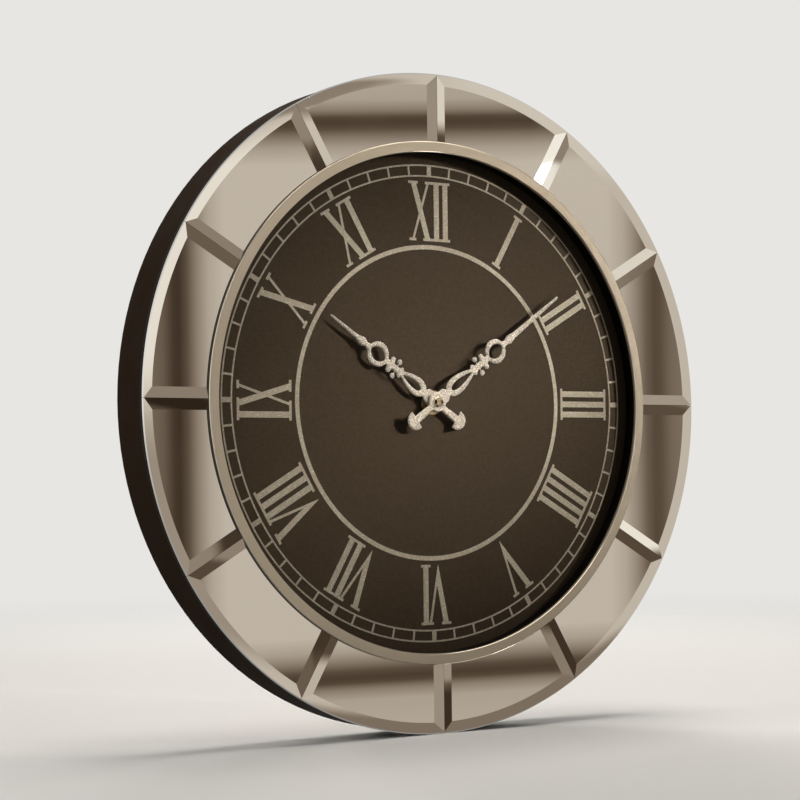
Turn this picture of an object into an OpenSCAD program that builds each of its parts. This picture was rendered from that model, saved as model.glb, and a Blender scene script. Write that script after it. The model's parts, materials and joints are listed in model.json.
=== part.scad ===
// Round wall clock: a recessed dark dial in a champagne bezel, set in a ring of mirror panels,
// driven by a quartz movement behind the dial. Millimetres.
// Every piece is modelled face up, with its height measured from the wall, and then stood up
// so that the dial looks along -Y and twelve o'clock points along +Z.

/* [Mirror ring] */
// Outside diameter of the mirror ring
ring_d = 500; // [470:1:540]
// Thickness of a mirror panel under its flat
glass_t = 3; // [2:0.5:5]
// Width of the sloping border along the rim
border_w = 8.4; // [5:0.2:12]
// Height of the rim above the flats
border_rise = 1.9; // [1:0.1:3]
// How much lower the ridges lie than the rim
ridge_drop = 0.1; // [0.05:0.05:0.4]
// Half width of the ridge between two panels
ridge_half_w = 8.1; // [5:0.1:11]
// Gap between two panels along a ridge
panel_gap = 0.2; // [0.1:0.05:0.5]
// Chamfer on the outer edge of the rim
rim_chamfer = 0.8; // [0.4:0.1:1.5]
// How far the mirror ring stands out past the case wall
rim_overhang = 0.8; // [0:0.1:2]

/* [Bezel] */
// Inside diameter of the bezel
bezel_in_d = 380; // [370:1:384]
// Width of the bezel's front face
bezel_w = 8; // [7:0.5:12]
// Height of the bezel's inner edge above the mirror flats
bezel_rise = 2.8; // [1.6:0.1:4]
// How much lower the outer edge of the bezel lies than its inner edge
bezel_fall = 0.4; // [0:0.1:1]
// Chamfer on both edges of the bezel
bezel_chamfer = 0.4; // [0.3:0.1:0.8]
// Thickness of the skirt that plugs the bezel into the case
skirt_t = 1.5; // [1:0.1:2]
// Depth of that skirt
skirt_h = 5; // [3:0.5:6]

/* [Case] */
// Height of the case's front deck from the wall
case_h = 37.1; // [36:0.1:45]
// Thickness of the outer wall
wall_t = 3; // [2:0.5:5]
// Thickness of the front deck, of the tube round the dial and of its ledge
deck_t = 3; // [2:0.5:4]
// Width of the ledge that carries the dial
ledge_w = 11; // [6:0.5:16]
// Thickness of the stiffening ribs under the deck
rib_t = 2; // [1.5:0.5:3]
// Diameter of a screw boss
boss_d = 9; // [7:0.5:12]
// Number of back panel screws
screw_n = 6; // [4:1:8]
// Diameter of a back panel screw
screw_d = 2.6; // [2:0.1:3.5]
// Diameter of a screw head
screw_head_d = 6; // [5:0.5:7]
// Height of a screw head
screw_head_h = 1.8; // [1:0.1:2.2]
// Length of a screw under its head
screw_len = 14; // [8:1:18]

/* [Back] */
// Thickness of the back panel
panel_t = 3; // [2:0.5:4]
// Depth of the back panel inside the rear rim
panel_inset = 3; // [2.5:0.5:5]
// Side of the access window behind the movement
window_w = 70; // [64:1:90]
// Corner radius of that window
window_corner = 3; // [2:0.5:6]
// Distance of the keyhole below the inside of the case wall
hang_inset = 46.2; // [36:0.1:90]
// Thickness of the steel hanger plate
hanger_t = 1.2; // [0.8:0.1:1.6]
// Width of the hanger plate
hanger_w = 44; // [36:1:60]
// Height of the hanger plate
hanger_h = 34; // [30:1:44]
// Corner radius of the hanger plate
hanger_corner = 4; // [2:0.5:6]
// Diameter of the keyhole's round end, for a screw head
keyhole_d = 9; // [8:0.5:11]
// Width of the keyhole's slot, for a screw shank
slot_w = 4.6; // [4:0.1:5.5]
// Distance from the round end to the end of the slot
slot_rise = 9; // [7:0.5:12]
// Diameter of a hanger rivet
rivet_d = 3; // [2.5:0.1:4]

/* [Dial] */
// Depth of the dial's face below the mirror flats
dial_recess = 10.6; // [8:0.1:14]
// Thickness of the dial plate
dial_t = 2; // [1.5:0.5:3]
// Thickness of the black wall round the dial
dial_wall_t = 1.2; // [1:0.1:2]
// Thickness of the applied foil
foil_t = 0.25; // [0.15:0.05:0.5]
// Gap between the black wall and the middle of the minute track's outer line
track_inset = 8.9; // [6:0.1:12]
// Width of the minute track between its two lines
track_w = 8.2; // [6:0.2:10]
// Width of the minute track's lines
track_line = 1.2; // [0.8:0.1:2]
// Width of a minute tick
minute_tick = 1.6; // [1:0.1:2.5]
// Width of an hour tick
hour_tick = 3.8; // [2.5:0.1:5]
// Gap between the numerals' feet and the plain circle inside them
circle_gap = 3; // [1.5:0.1:6]
// Width of that circle
circle_w = 3.4; // [2:0.1:4]

/* [Numerals] */
// Gap between the minute track and the numerals' heads
numeral_gap = 3.7; // [2:0.1:6]
// Height of a numeral
numeral_h = 45.6; // [38:0.1:48]
// Width of a thick stroke
stroke_thick = 4.6; // [3.5:0.1:5.5]
// Width of a thin stroke
stroke_thin = 2; // [1.2:0.1:2.6]
// Height of a serif
serif_h = 2; // [1.2:0.1:3]
// How far a serif stands out past its stroke
serif_out = 2; // [1:0.1:2.5]

/* [Hands] */
// Length of the minute hand from its axis
minute_len = 143.5; // [130:0.5:165]
// Length of the hour hand from its axis
hour_len = 112; // [104:0.5:118]
// Thickness of a hand
hand_t = 1; // [0.6:0.1:1.5]
// Length of the minute hand's leaf, from its root to the cross
minute_leaf = 29; // [26:0.5:34]
// Length of the hour hand's leaf, from its root to the cross
hour_leaf = 25; // [22:0.5:30]
// Radius of the disc round a hand's axis
hub_r = 7.6; // [6.5:0.1:8.5]
// Half width of the leaf
leaf_half_w = 7; // [5.5:0.1:8]
// Width of the metal round the leaf's and the ring's openings
hand_band = 4; // [3:0.1:4.5]
// Outside radius of the ring in each hand
hand_ring_r = 9.5; // [8:0.1:11]
// Half width of the spike at its root
spike_half_w = 2.2; // [1.5:0.1:3]
// Half width of the spike at its point
point_half_w = 1; // [0.5:0.1:1.4]
// Distance from the axis to the end of the tail
tail_len = 31.5; // [26:0.5:36]
// Radius of the bead on each side of the cross
bead_r = 2.1; // [1.6:0.1:2.4]
// Time shown at rest, in minutes after twelve
rest_time = 609; // [0:1:719]

/* [Hub] */
// Diameter of the threaded bush
bush_d = 7.9; // [7:0.1:9]
// Height of the bush above the dial
bush_h = 4.4; // [4:0.1:6]
// Diameter of the hour tube
tube_d = 5; // [4.5:0.1:5.4]
// Diameter of the minute arbor
arbor_d = 3.4; // [2.8:0.1:3.6]
// Diameter of the brass washer
washer_d = 19; // [16:0.5:24]
// Thickness of the brass washer
washer_t = 0.8; // [0.5:0.1:1]
// Width of the hex nut across its flats
nut_w = 11; // [10.5:0.5:14]
// Height of the hex nut
nut_h = 2.6; // [2:0.1:3]
// Thickness of the rubber washer behind the dial
rubber_t = 1; // [0.5:0.1:2]
// Thickness of the collet under each hand
collet_t = 0.8; // [0.6:0.1:1.2]
// Diameter of the nut on the minute arbor
cap_d = 8.6; // [7.6:0.1:10]
// Height of the nut on the minute arbor
cap_h = 1.8; // [1.4:0.1:3]

/* [Movement] */
// Width and height of the movement
mov_w = 56; // [55:0.5:60]
// Depth of the movement
mov_d = 16; // [15.8:0.1:18]
// Thickness of the movement's walls
mov_wall = 1.5; // [1.2:0.1:1.6]
// Corner radius of the movement
mov_corner = 3; // [2:0.1:3.5]
// Diameter of the battery
battery_d = 14.3; // [13.8:0.1:14.5]
// Length of the battery with its button
battery_len = 50.5; // [49:0.1:50.7]
// Diameter of the setting knob
knob_d = 13; // [10:0.5:13.5]
// Height of the setting knob behind the cover
knob_h = 3; // [2:0.5:3.5]
// Distance from the middle to the motion wheel
motion_dist = 10.4; // [10.4:0.05:10.6]
// Distance from the middle to the third wheel
third_dist = 9.6; // [9.6:0.05:9.8]
// Distance from the middle to the intermediate wheel
inter_dist = 9.75; // [9.7:0.05:9.9]
// Distance from the intermediate wheel to the rotor
rotor_dist = 7; // [6.8:0.05:7.2]
// Thickness of a wheel
wheel_t = 1; // [0.7:0.1:1.1]
// Distance between the levels of the train
level_pitch = 2; // [1.95:0.05:2.05]
// Radius of the arbors
arbor_r = 0.6; // [0.5:0.05:0.62]
// Radius of the arbors' pivots
pivot_r = 0.45; // [0.35:0.05:0.45]

/* [Clearances] */
// Radial clearance of a running fit
run_fit = 0.05; // [0.02:0.01:0.08]
// Clearance between pieces that drop into each other
drop_fit = 0.2; // [0.1:0.05:0.4]
// Gap between pieces that pass each other
pass_gap = 0.3; // [0.2:0.05:0.5]

/* [Hidden] */
$fn = 96;
HOURS = 12;
hour_step = 360 / HOURS;

// Radii of the ring, the bezel and the case
ring_r = ring_d / 2;
bezel_in_r = bezel_in_d / 2;
bezel_out_r = bezel_in_r + bezel_w;
dial_wall_in_r = bezel_in_r + 0.4;
dial_wall_out_r = dial_wall_in_r + dial_wall_t;
skirt_in_r = dial_wall_out_r + drop_fit;
skirt_out_r = skirt_in_r + skirt_t;
tube_in_r = skirt_out_r + drop_fit;
tube_out_r = tube_in_r + deck_t;
case_out_r = ring_r - rim_overhang;
case_in_r = case_out_r - wall_t;
boss_r = case_in_r - boss_d / 2 + 0.4;
hang_h = case_in_r - hang_inset;

// Radii on the dial, from the black wall inwards
track_r = dial_wall_in_r - track_inset;
numeral_r = track_r - track_w - track_line / 2 - numeral_gap - numeral_h;
circle_r = numeral_r - circle_gap - circle_w / 2;

// Heights from the wall
flat_z = case_h + glass_t;
dial_z = flat_z - dial_recess;
ledge_z = dial_z - dial_t;
panel_front_z = panel_inset + panel_t;
front_z = ledge_z - rubber_t;
rear_z = front_z - mov_d;
inner_front_z = front_z - mov_wall;
inner_rear_z = rear_z + mov_wall;

// Heights at the hub
nut_z = dial_z + washer_t;
bush_top_z = dial_z + bush_h;
hour_collet_z = bush_top_z + pass_gap;
hour_hand_z = hour_collet_z + collet_t;
minute_collet_z = hour_hand_z + hand_t + pass_gap + 0.1;
minute_hand_z = minute_collet_z + collet_t;
cap_z = minute_hand_z + hand_t;
bush_r = bush_d / 2;
tube_r = tube_d / 2;
shaft_r = arbor_d / 2;
dial_hole_r = bush_r + drop_fit;
collet_r = tube_r + 1.7;

// Angles of the hands at rest, clockwise from twelve
minute_angle = 360 * (rest_time % 60) / 60;
hour_angle = 360 * rest_time / 720;

// Tooth counts
cannon_n = 12;
motion_n = 36;
motion_pinion_n = 10;
hour_n = 40;
centre_n = 64;
third_pinion_n = 8;
third_n = 60;
seconds_pinion_n = 8;
seconds_n = 50;
inter_pinion_n = 10;
inter_n = 60;
rotor_pinion_n = 10;

// Modules, from the tooth counts and the distance between the arbors
function module_of(n, p, dist) = 2 * dist / (n + p);
motion_m = module_of(motion_n, cannon_n, motion_dist);
hour_m = module_of(hour_n, motion_pinion_n, motion_dist);
centre_m = module_of(centre_n, third_pinion_n, third_dist);
third_m = module_of(third_n, seconds_pinion_n, third_dist);
seconds_m = module_of(seconds_n, inter_pinion_n, inter_dist);
inter_m = module_of(inter_n, rotor_pinion_n, rotor_dist);

// Places of the arbors behind the dial
inter_dir = 60;
rotor_dir = 40;
motion_at = [motion_dist, 0];
knob_at = [2 * motion_dist, 0];
third_at = [-third_dist, 0];
inter_at = inter_dist * [cos(inter_dir), sin(inter_dir)];
rotor_at = inter_at + rotor_dist * [cos(rotor_dir), sin(rotor_dir)];

// Levels of the train, from the front: hour, motion, centre, third, seconds and intermediate wheel
pinion_over = 0.3;
bush_flange_t = 0.8;
first_level = inner_front_z - bush_flange_t - 0.4 - wheel_t;
function level(k) = first_level - k * level_pitch;
pivot_depth = mov_wall * 0.6;
pivot_hole_r = pivot_r + run_fit;
seconds_end_z = level(3) + wheel_t + pinion_over;
arbor_rear_z = seconds_end_z + 0.2;

// Inside of the movement
half_w = mov_w / 2;
half_in = half_w - mov_wall;
bay_w = battery_d + 0.7;
bay_y = -half_in + bay_w;
bay_wall = 1.2;
battery_at = [0, -half_in + bay_w / 2];
battery_z = inner_front_z - battery_d / 2 - run_fit;
contact_t = 0.4;
magnet_r = 2.2;
magnet_h = 2.4;
stator_t = 1;
stator_z = level(3) - 0.3;
stator_hole_r = magnet_r + 0.4;
coil_d = 8;
coil_len = 20;
coil_y = half_in - coil_d / 2 - 0.1;
core_w = 3;

// Helpers

// Stands a face-up piece on the wall, facing -Y
module stand() rotate([90, 0, 0]) children();

// Turns a piece clockwise from twelve, as seen from the front
module clockwise(angle) rotate([0, 0, -angle]) children();

// Upright disc or tube from z0 to z1
module disc(r, z0, z1) translate([0, 0, z0]) cylinder(r = r, h = z1 - z0);

module tube(r_out, r_in, z0, z1) {
    difference() {
        disc(r_out, z0, z1);
        disc(r_in, z0 - 1, z1 + 1);
    }
}

// Box between two corners
module box(low, high) translate(low) cube(high - low);

// Box between two corners with its four upright edges rounded
module slab(low, high, r) {
    size = high - low;
    translate(low) linear_extrude(size[2]) {
        translate([r, 0]) square([size[0] - 2 * r, size[1]]);
        translate([0, r]) square([size[0], size[1] - 2 * r]);
        for (x = [r, size[0] - r], y = [r, size[1] - r]) translate([x, y]) circle(r);
    }
}

// Case and back

module case_profile() {
    polygon([
        [tube_in_r - ledge_w, ledge_z - deck_t], [tube_out_r, ledge_z - deck_t],
        [tube_out_r, case_h - deck_t], [case_in_r, case_h - deck_t],
        [case_in_r, 0], [case_out_r, 0], [case_out_r, case_h],
        [tube_in_r, case_h], [tube_in_r, ledge_z], [tube_in_r - ledge_w, ledge_z]
    ]);
}

module at_screws() for (k = [0 : screw_n - 1]) clockwise(hour_step / 2 + k * 360 / screw_n)
    translate([0, boss_r, 0]) children();

module case_body() {
    color([0.09, 0.07, 0.055]) stand() difference() {
        union() {
            rotate_extrude() case_profile();
            for (k = [0 : HOURS - 1]) clockwise(k * hour_step)
                box([-rib_t / 2, tube_out_r - 0.5, ledge_z - deck_t],
                    [rib_t / 2, case_in_r + 0.5, case_h - deck_t / 2]);
            at_screws() disc(boss_d / 2, panel_front_z, case_h - deck_t / 2);
        }
        at_screws() disc(screw_d / 2 + run_fit, panel_front_z - 1, panel_inset + screw_len + 1);
    }
}

module keyhole(z0, z1) {
    translate([0, hang_h, 0]) disc(keyhole_d / 2, z0, z1);
    translate([0, hang_h + slot_rise, 0]) disc(slot_w / 2, z0, z1);
    box([-slot_w / 2, hang_h, z0], [slot_w / 2, hang_h + slot_rise, z1]);
}

module at_rivets() for (side = [-1, 1])
    translate([side * (hanger_w / 2 - 2 * rivet_d), hang_h + slot_rise / 2, 0]) children();

module back_panel() {
    head_room = keyhole_d / 2 + 3;
    color([0.36, 0.27, 0.19]) stand() difference() {
        disc(case_in_r - drop_fit, panel_inset, panel_front_z);
        slab([-window_w / 2, -window_w / 2, 0], [window_w / 2, window_w / 2, case_h], window_corner);
        box([-head_room, hang_h - head_room, 0], [head_room, hang_h + slot_rise + 4, case_h]);
        at_screws() disc(screw_d / 2 + drop_fit, 0, case_h);
        at_rivets() disc(rivet_d / 2 + run_fit, 0, case_h);
    }
}

module back_screws() {
    color([0.7, 0.7, 0.7]) stand() at_screws() {
        disc(screw_head_d / 2, panel_inset - screw_head_h, panel_inset);
        disc(screw_d / 2, panel_inset - screw_head_h / 2, panel_inset + screw_len);
    }
}

module hanger_plate() {
    mid = hang_h + slot_rise / 2;
    color([0.75, 0.75, 0.74]) stand() difference() {
        slab([-hanger_w / 2, mid - hanger_h / 2, panel_inset - hanger_t],
             [hanger_w / 2, mid + hanger_h / 2, panel_inset], hanger_corner);
        keyhole(0, case_h);
        at_rivets() disc(rivet_d / 2 + run_fit, 0, case_h);
    }
}

module hanger_rivets() {
    color([0.62, 0.62, 0.6]) stand() at_rivets() {
        disc(rivet_d, panel_inset - hanger_t - 0.8, panel_inset - hanger_t);
        disc(rivet_d / 2, panel_inset - hanger_t - 0.4, panel_front_z + 0.4);
        disc(rivet_d, panel_front_z, panel_front_z + 0.8);
    }
}

// Mirror ring

// Wedge between two spokes, drawn in by half the panel gap
module panel_sector() {
    half = hour_step / 2;
    start = panel_gap / 2 / sin(half);
    reach = 2 * ring_r;
    linear_extrude(2 * flat_z) polygon([
        [0, start], [reach * sin(half), start + reach * cos(half)],
        [-reach * sin(half), start + reach * cos(half)]
    ]);
}

module panel_profile() {
    rim_z = flat_z + border_rise;
    polygon([
        [tube_in_r, case_h], [ring_r, case_h], [ring_r, rim_z - rim_chamfer],
        [ring_r - rim_chamfer, rim_z], [ring_r - border_w, flat_z], [tube_in_r, flat_z]
    ]);
}

// Half of the ridge along one edge of a panel; its outer end is buried in the rim's border
module half_ridge(side) {
    rise = border_rise - ridge_drop;
    root = glass_t / 2;
    out_r = ring_r - rim_chamfer;
    rotate([0, 0, -side * hour_step / 2]) translate([0, out_r, flat_z]) rotate([90, 0, 0])
        linear_extrude(out_r - bezel_out_r - pass_gap)
            polygon([[0, -root], [0, rise], [-side * ridge_half_w * (rise + root) / rise, -root]]);
}

module mirror_panel(k) {
    color([0.78, 0.74, 0.66]) stand() clockwise((k - 0.5) * hour_step) intersection() {
        panel_sector();
        union() {
            rotate_extrude() panel_profile();
            half_ridge(1);
            half_ridge(-1);
        }
    }
}

module bezel_ring() {
    top_in = flat_z + bezel_rise;
    top_out = top_in - bezel_fall;
    color([0.72, 0.64, 0.5]) stand() rotate_extrude() polygon([
        [bezel_in_r, flat_z], [skirt_in_r, flat_z],
        [skirt_in_r, flat_z - skirt_h], [skirt_out_r, flat_z - skirt_h], [skirt_out_r, flat_z],
        [bezel_out_r, flat_z], [bezel_out_r, top_out - bezel_chamfer],
        [bezel_out_r - bezel_chamfer, top_out], [bezel_in_r + bezel_chamfer, top_in],
        [bezel_in_r, top_in - bezel_chamfer]
    ]);
}

// Dial

module dial_wall() {
    color([0.02, 0.02, 0.02]) stand() tube(dial_wall_out_r, dial_wall_in_r, dial_z, flat_z);
}

module dial_plate() {
    color([0.2, 0.17, 0.14]) stand() tube(tube_in_r - drop_fit, dial_hole_r, ledge_z, dial_z);
}

module foil() color([0.7, 0.64, 0.54]) stand() translate([0, 0, dial_z]) linear_extrude(foil_t)
    children();

module line_ring(r, w) {
    difference() {
        circle(r + w / 2);
        circle(r - w / 2);
    }
}

module minute_track() {
    foil() {
        line_ring(track_r, track_line);
        line_ring(track_r - track_w, track_line);
        for (k = [0 : 59]) clockwise(6 * k) {
            w = k % 5 == 0 ? hour_tick : minute_tick;
            translate([-w / 2, track_r - track_w]) square([w, track_w]);
        }
    }
}

module inner_circle() foil() line_ring(circle_r, circle_w);

// Numerals: strokes stand on y = 0 and reach numeral_h, centred on x = 0

module stroke(x_foot, x_head, w) {
    polygon([[x_foot - w / 2, 0], [x_foot + w / 2, 0],
             [x_head + w / 2, numeral_h], [x_head - w / 2, numeral_h]]);
}

// Serif over a stroke of width w that ends at x
module foot_serif(x, w) translate([x - w / 2 - serif_out, 0]) square([w + 2 * serif_out, serif_h]);

module head_serif(x, w) translate([0, numeral_h - serif_h]) foot_serif(x, w);

// How far the strokes of a ten and of a five lean out on each side
ten_lean = 0.146 * numeral_h;
five_lean = 0.162 * numeral_h;
thin_shift = 0.013 * numeral_h;

// Half of the room that each letter takes along a numeral; the serifs of neighbours overlap a little
serif_lap = 0.12 * serif_out;
one_half = stroke_thick / 2 + serif_out - serif_lap;
ten_half = stroke_thick / 2 + serif_out + ten_lean - 2 * serif_lap;
five_half = stroke_thick / 2 + serif_out + 0.385 * five_lean;

module letter_one() {
    stroke(0, 0, stroke_thick);
    foot_serif(0, stroke_thick);
    head_serif(0, stroke_thick);
}

module letter_ten() {
    thin_lean = ten_lean + thin_shift;
    stroke(ten_lean, -ten_lean, stroke_thick);
    stroke(-thin_lean, thin_lean, stroke_thin);
    head_serif(-ten_lean, stroke_thick);
    head_serif(thin_lean, stroke_thin);
    foot_serif(ten_lean, stroke_thick);
    foot_serif(-thin_lean, stroke_thin);
}

// Two strokes that meet in a point at the foot
module letter_five() {
    notch = 0.33 * numeral_h;
    difference() {
        polygon([[0, 0], [five_lean + stroke_thin / 2, numeral_h],
                 [-five_lean - stroke_thick / 2, numeral_h]]);
        polygon([[stroke_thin / 2, notch], [five_lean - stroke_thin / 2, numeral_h + 1],
                 [-five_lean + stroke_thick / 2, numeral_h + 1]]);
    }
    head_serif(-five_lean, stroke_thick);
    head_serif(five_lean, stroke_thin);
}

function half_room(c) = c == "X" ? ten_half : c == "V" ? five_half : one_half;
function room_before(word, n) = n == 0 ? 0 : room_before(word, n - 1) + 2 * half_room(word[n - 1]);

module numeral(word) {
    width = room_before(word, len(word));
    for (n = [0 : len(word) - 1]) {
        translate([room_before(word, n) + half_room(word[n]) - width / 2, 0]) {
            if (word[n] == "X") letter_ten();
            else if (word[n] == "V") letter_five();
            else letter_one();
        }
    }
}

module numerals() {
    words = ["XII", "I", "II", "III", "IIII", "V", "VI", "VII", "VIII", "IX", "X", "XI"];
    foil() for (h = [0 : HOURS - 1]) clockwise(h * hour_step) translate([0, numeral_r])
        numeral(words[h]);
}

// Hands: drawn along +Y from the axis

collar_half_w = 0.74 * hub_r;
collar_len = 1.25 * hub_r;
neck_half_w = 0.38 * hub_r;
leaf_root = 1.65 * hub_r;
tail_half_w = 0.41 * hub_r;
tail_cap_r = 0.97 * hub_r;
bar_half_w = 0.6 * hand_band;
cusp_half_w = 1.92 * bar_half_w;
bead_x = 2.95 * bead_r;
knob_x = bead_x - 0.7 * bead_r;
minute_cross = 0.62 * minute_leaf;
hour_cross = 0.66 * hour_leaf;
hour_taper = 0.82;
flare_gap = 1.7 * hand_ring_r;
flare_half_w = 1.64 * spike_half_w;

// Teardrop outline, widest a third of the way along
function leaf_points(y0, len, half_w, n = 28) = both_sides([
    for (i = [0 : n]) let (t = 0.004 + 0.992 * i / n)
        [half_w * pow(sin(180 * pow(t, 0.62)), 0.8), y0 + len * t]
]);

// Closes the right-hand side of an outline, listed from its foot up, with its mirror image
function both_sides(p) = concat(p, [for (i = [len(p) - 1 : -1 : 0]) [-p[i][0], p[i][1]]]);

module hand_tail() {
    slim = 0.77 * tail_half_w;
    cap_h = 1.16 * tail_cap_r;
    polygon(both_sides([[tail_half_w, -tail_len + 0.7 * cap_h], [slim, -hub_r + 1], [slim, 0]]));
    difference() {
        translate([0, -tail_len + tail_cap_r]) circle(tail_cap_r);
        translate([-tail_cap_r, -tail_len + cap_h]) square(2 * tail_cap_r);
    }
}

module hand_cross(y, cross) {
    bead_y = y + 0.35 * cross;
    knob_y = y + 0.7 * cross;
    inner = 0.83 * bar_half_w;
    stem_w = 0.36 * bead_r;
    translate([-bar_half_w, y - bar_half_w]) square([2 * bar_half_w, cross + 1.2 * bar_half_w]);
    polygon(both_sides([[inner, y - 0.08 * cross], [cusp_half_w, y + 0.03 * cross],
                        [0.91 * cusp_half_w, y + 0.11 * cross], [inner, y + 0.23 * cross]]));
    translate([-bead_x, bead_y - stem_w / 2]) square([2 * bead_x, stem_w]);
    for (side = [-1, 1]) {
        translate([side * bead_x, bead_y]) circle(bead_r);
        translate([side * knob_x, knob_y]) circle(0.95 * bead_r);
    }
    polygon(both_sides([[inner, knob_y - 0.165 * cross], [knob_x, knob_y - 0.76 * bead_r],
                        [knob_x, knob_y + 0.76 * bead_r], [inner, knob_y + 0.155 * cross]]));
}

// Ring with a lemon-shaped opening
module hand_ring(y) {
    open_half_w = hand_ring_r - 1.05 * hand_band;
    open_half_len = hand_ring_r - 0.55 * hand_band;
    arc_r = (pow(open_half_len, 2) + pow(open_half_w, 2)) / (2 * open_half_w);
    translate([0, y]) difference() {
        circle(hand_ring_r);
        intersection() {
            translate([arc_r - open_half_w, 0]) circle(arc_r);
            translate([open_half_w - arc_r, 0]) circle(arc_r);
        }
    }
}

module hand_spike(ring_y, len, taper) {
    flare_y = ring_y + flare_gap;
    polygon(both_sides([
        [1.36 * spike_half_w, ring_y + 0.92 * hand_ring_r],
        [0.86 * spike_half_w, flare_y - 0.25 * flare_gap],
        [flare_half_w, flare_y], [taper * spike_half_w, flare_y + 0.38 * flare_gap],
        [taper * point_half_w, len - point_half_w], [taper * point_half_w / 2, len]
    ]));
}

module hand_outline(len, leaf, cross, taper) {
    cross_y = leaf_root + leaf;
    ring_y = cross_y + cross + hand_ring_r - hand_band / 4;
    circle(hub_r);
    hand_tail();
    polygon(both_sides([[collar_half_w, collar_len / 2], [0.96 * collar_half_w, collar_len],
                        [neck_half_w, leaf_root], [neck_half_w, leaf_root + neck_half_w]]));
    difference() {
        polygon(leaf_points(leaf_root - 1, leaf + 4, leaf_half_w));
        polygon(leaf_points(leaf_root + hand_band, leaf - hand_band - 1.5, leaf_half_w - hand_band));
    }
    hand_cross(cross_y, cross);
    hand_ring(ring_y);
    hand_spike(ring_y, len, taper);
}

module hand(angle, z, bore) {
    color([0.8, 0.74, 0.64]) stand() clockwise(angle) translate([0, 0, z]) linear_extrude(hand_t)
        difference() {
            children();
            circle(bore);
        }
}

module hour_hand() hand(hour_angle, hour_hand_z, tube_r + run_fit)
    hand_outline(hour_len, hour_leaf, hour_cross, hour_taper);

module minute_hand() hand(minute_angle, minute_hand_z, shaft_r + run_fit)
    hand_outline(minute_len, minute_leaf, minute_cross, 1);

module hour_collet() {
    color([0.78, 0.63, 0.32]) stand() tube(collet_r, tube_r + run_fit, hour_collet_z, hour_hand_z);
}

module minute_collet() {
    color([0.78, 0.63, 0.32]) stand()
        tube(collet_r, shaft_r + run_fit, minute_collet_z, minute_hand_z);
}

// Domed nut on the end of the minute arbor
module hand_nut() {
    color([0.8, 0.68, 0.4]) stand() translate([0, 0, cap_z]) rotate_extrude() polygon([
        [shaft_r + run_fit, 0], [cap_d / 2, 0], [cap_d / 2, 0.55 * cap_h],
        [cap_d / 2 - 0.4, 0.75 * cap_h], [cap_d / 2 - 1.4, 0.94 * cap_h],
        [shaft_r + 0.6, cap_h], [shaft_r + run_fit, cap_h]
    ]);
}

// Hub

module threaded_bush() {
    color([0.8, 0.66, 0.36]) stand() difference() {
        union() {
            disc(bush_r, inner_front_z - bush_flange_t, bush_top_z);
            disc(bush_r + 1.6, inner_front_z - bush_flange_t, inner_front_z);
        }
        disc(tube_r + run_fit, 0, 2 * case_h);
    }
}

module rubber_washer() {
    color([0.04, 0.04, 0.04]) stand() tube(washer_d / 2, bush_r + drop_fit, front_z, ledge_z);
}

module brass_washer() {
    color([0.8, 0.66, 0.36]) stand() tube(washer_d / 2, bush_r + drop_fit, dial_z, nut_z);
}

module hex_nut() {
    color([0.8, 0.66, 0.36]) stand() difference() {
        translate([0, 0, nut_z]) cylinder(d = nut_w / cos(30), h = nut_h, $fn = 6);
        disc(bush_r + run_fit, dial_z, bush_top_z + 1);
    }
}

// Movement housing

// Places of the plain arbors that pivot in both walls
ARBORS = [motion_at, third_at, inter_at, rotor_at];

module at_arbors() for (p = ARBORS) translate([p[0], p[1], 0]) children();

module pivot_holes(z0, z1) at_arbors() disc(pivot_hole_r, z0, z1);

post_w = 2.4;

// Corner posts that carry the cover
module cover_posts() for (x = [-1, 1], y = [bay_y + bay_wall, half_in - post_w])
    box([x > 0 ? half_in - post_w : -half_in, y, inner_rear_z],
        [x > 0 ? half_in : -half_in + post_w, y + post_w, inner_front_z + mov_wall / 2]);

board_low = [-half_in + 3, bay_y + bay_wall + 1];
board_high = [-half_in + 9.5, half_in - 3];
board_t = 1;
board_z = inner_front_z - 2.2;

module board_pegs() for (y = [board_low[1] + 2, board_high[1] - 2])
    translate([(board_low[0] + board_high[0]) / 2, y, 0])
        disc(1.5, board_z + board_t, inner_front_z + mov_wall / 2);

// Pegs that carry the stator's plate
module stator_pegs() for (x = [-1, 1]) translate([x * (coil_len / 2 + 3.5), coil_y - coil_d / 2 - 2.6, 0])
    disc(1.2, stator_z + stator_t, inner_front_z + mov_wall / 2);

module movement_case() {
    color([0.05, 0.05, 0.055]) stand() difference() {
        union() {
            difference() {
                slab([-half_w, -half_w, rear_z], [half_w, half_w, front_z], mov_corner);
                box([-half_in, -half_in, rear_z - 1], [half_in, half_in, inner_front_z]);
            }
            box([-half_in, bay_y, rear_z], [half_in, bay_y + bay_wall, inner_front_z + mov_wall / 2]);
            cover_posts();
            board_pegs();
            stator_pegs();
        }
        disc(bush_r + run_fit, rear_z, front_z + 1);
        pivot_holes(inner_front_z - 1, inner_front_z + pivot_depth);
        translate([knob_at[0], knob_at[1], 0])
            disc(pivot_hole_r, inner_front_z - 1, inner_front_z + pivot_depth);
    }
}

knob_arbor_r = 1.5;

module movement_cover() {
    color([0.06, 0.06, 0.065]) stand() difference() {
        box([-half_in + run_fit, bay_y + bay_wall + run_fit, rear_z],
            [half_in - run_fit, half_in - run_fit, inner_rear_z]);
        pivot_holes(inner_rear_z - pivot_depth, inner_rear_z + 1);
        disc(pivot_hole_r, inner_rear_z - pivot_depth, inner_rear_z + 1);
        translate([knob_at[0], knob_at[1], 0])
            disc(knob_arbor_r + run_fit, rear_z - 1, inner_rear_z + 1);
    }
}

// Wheels of the train

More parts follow.
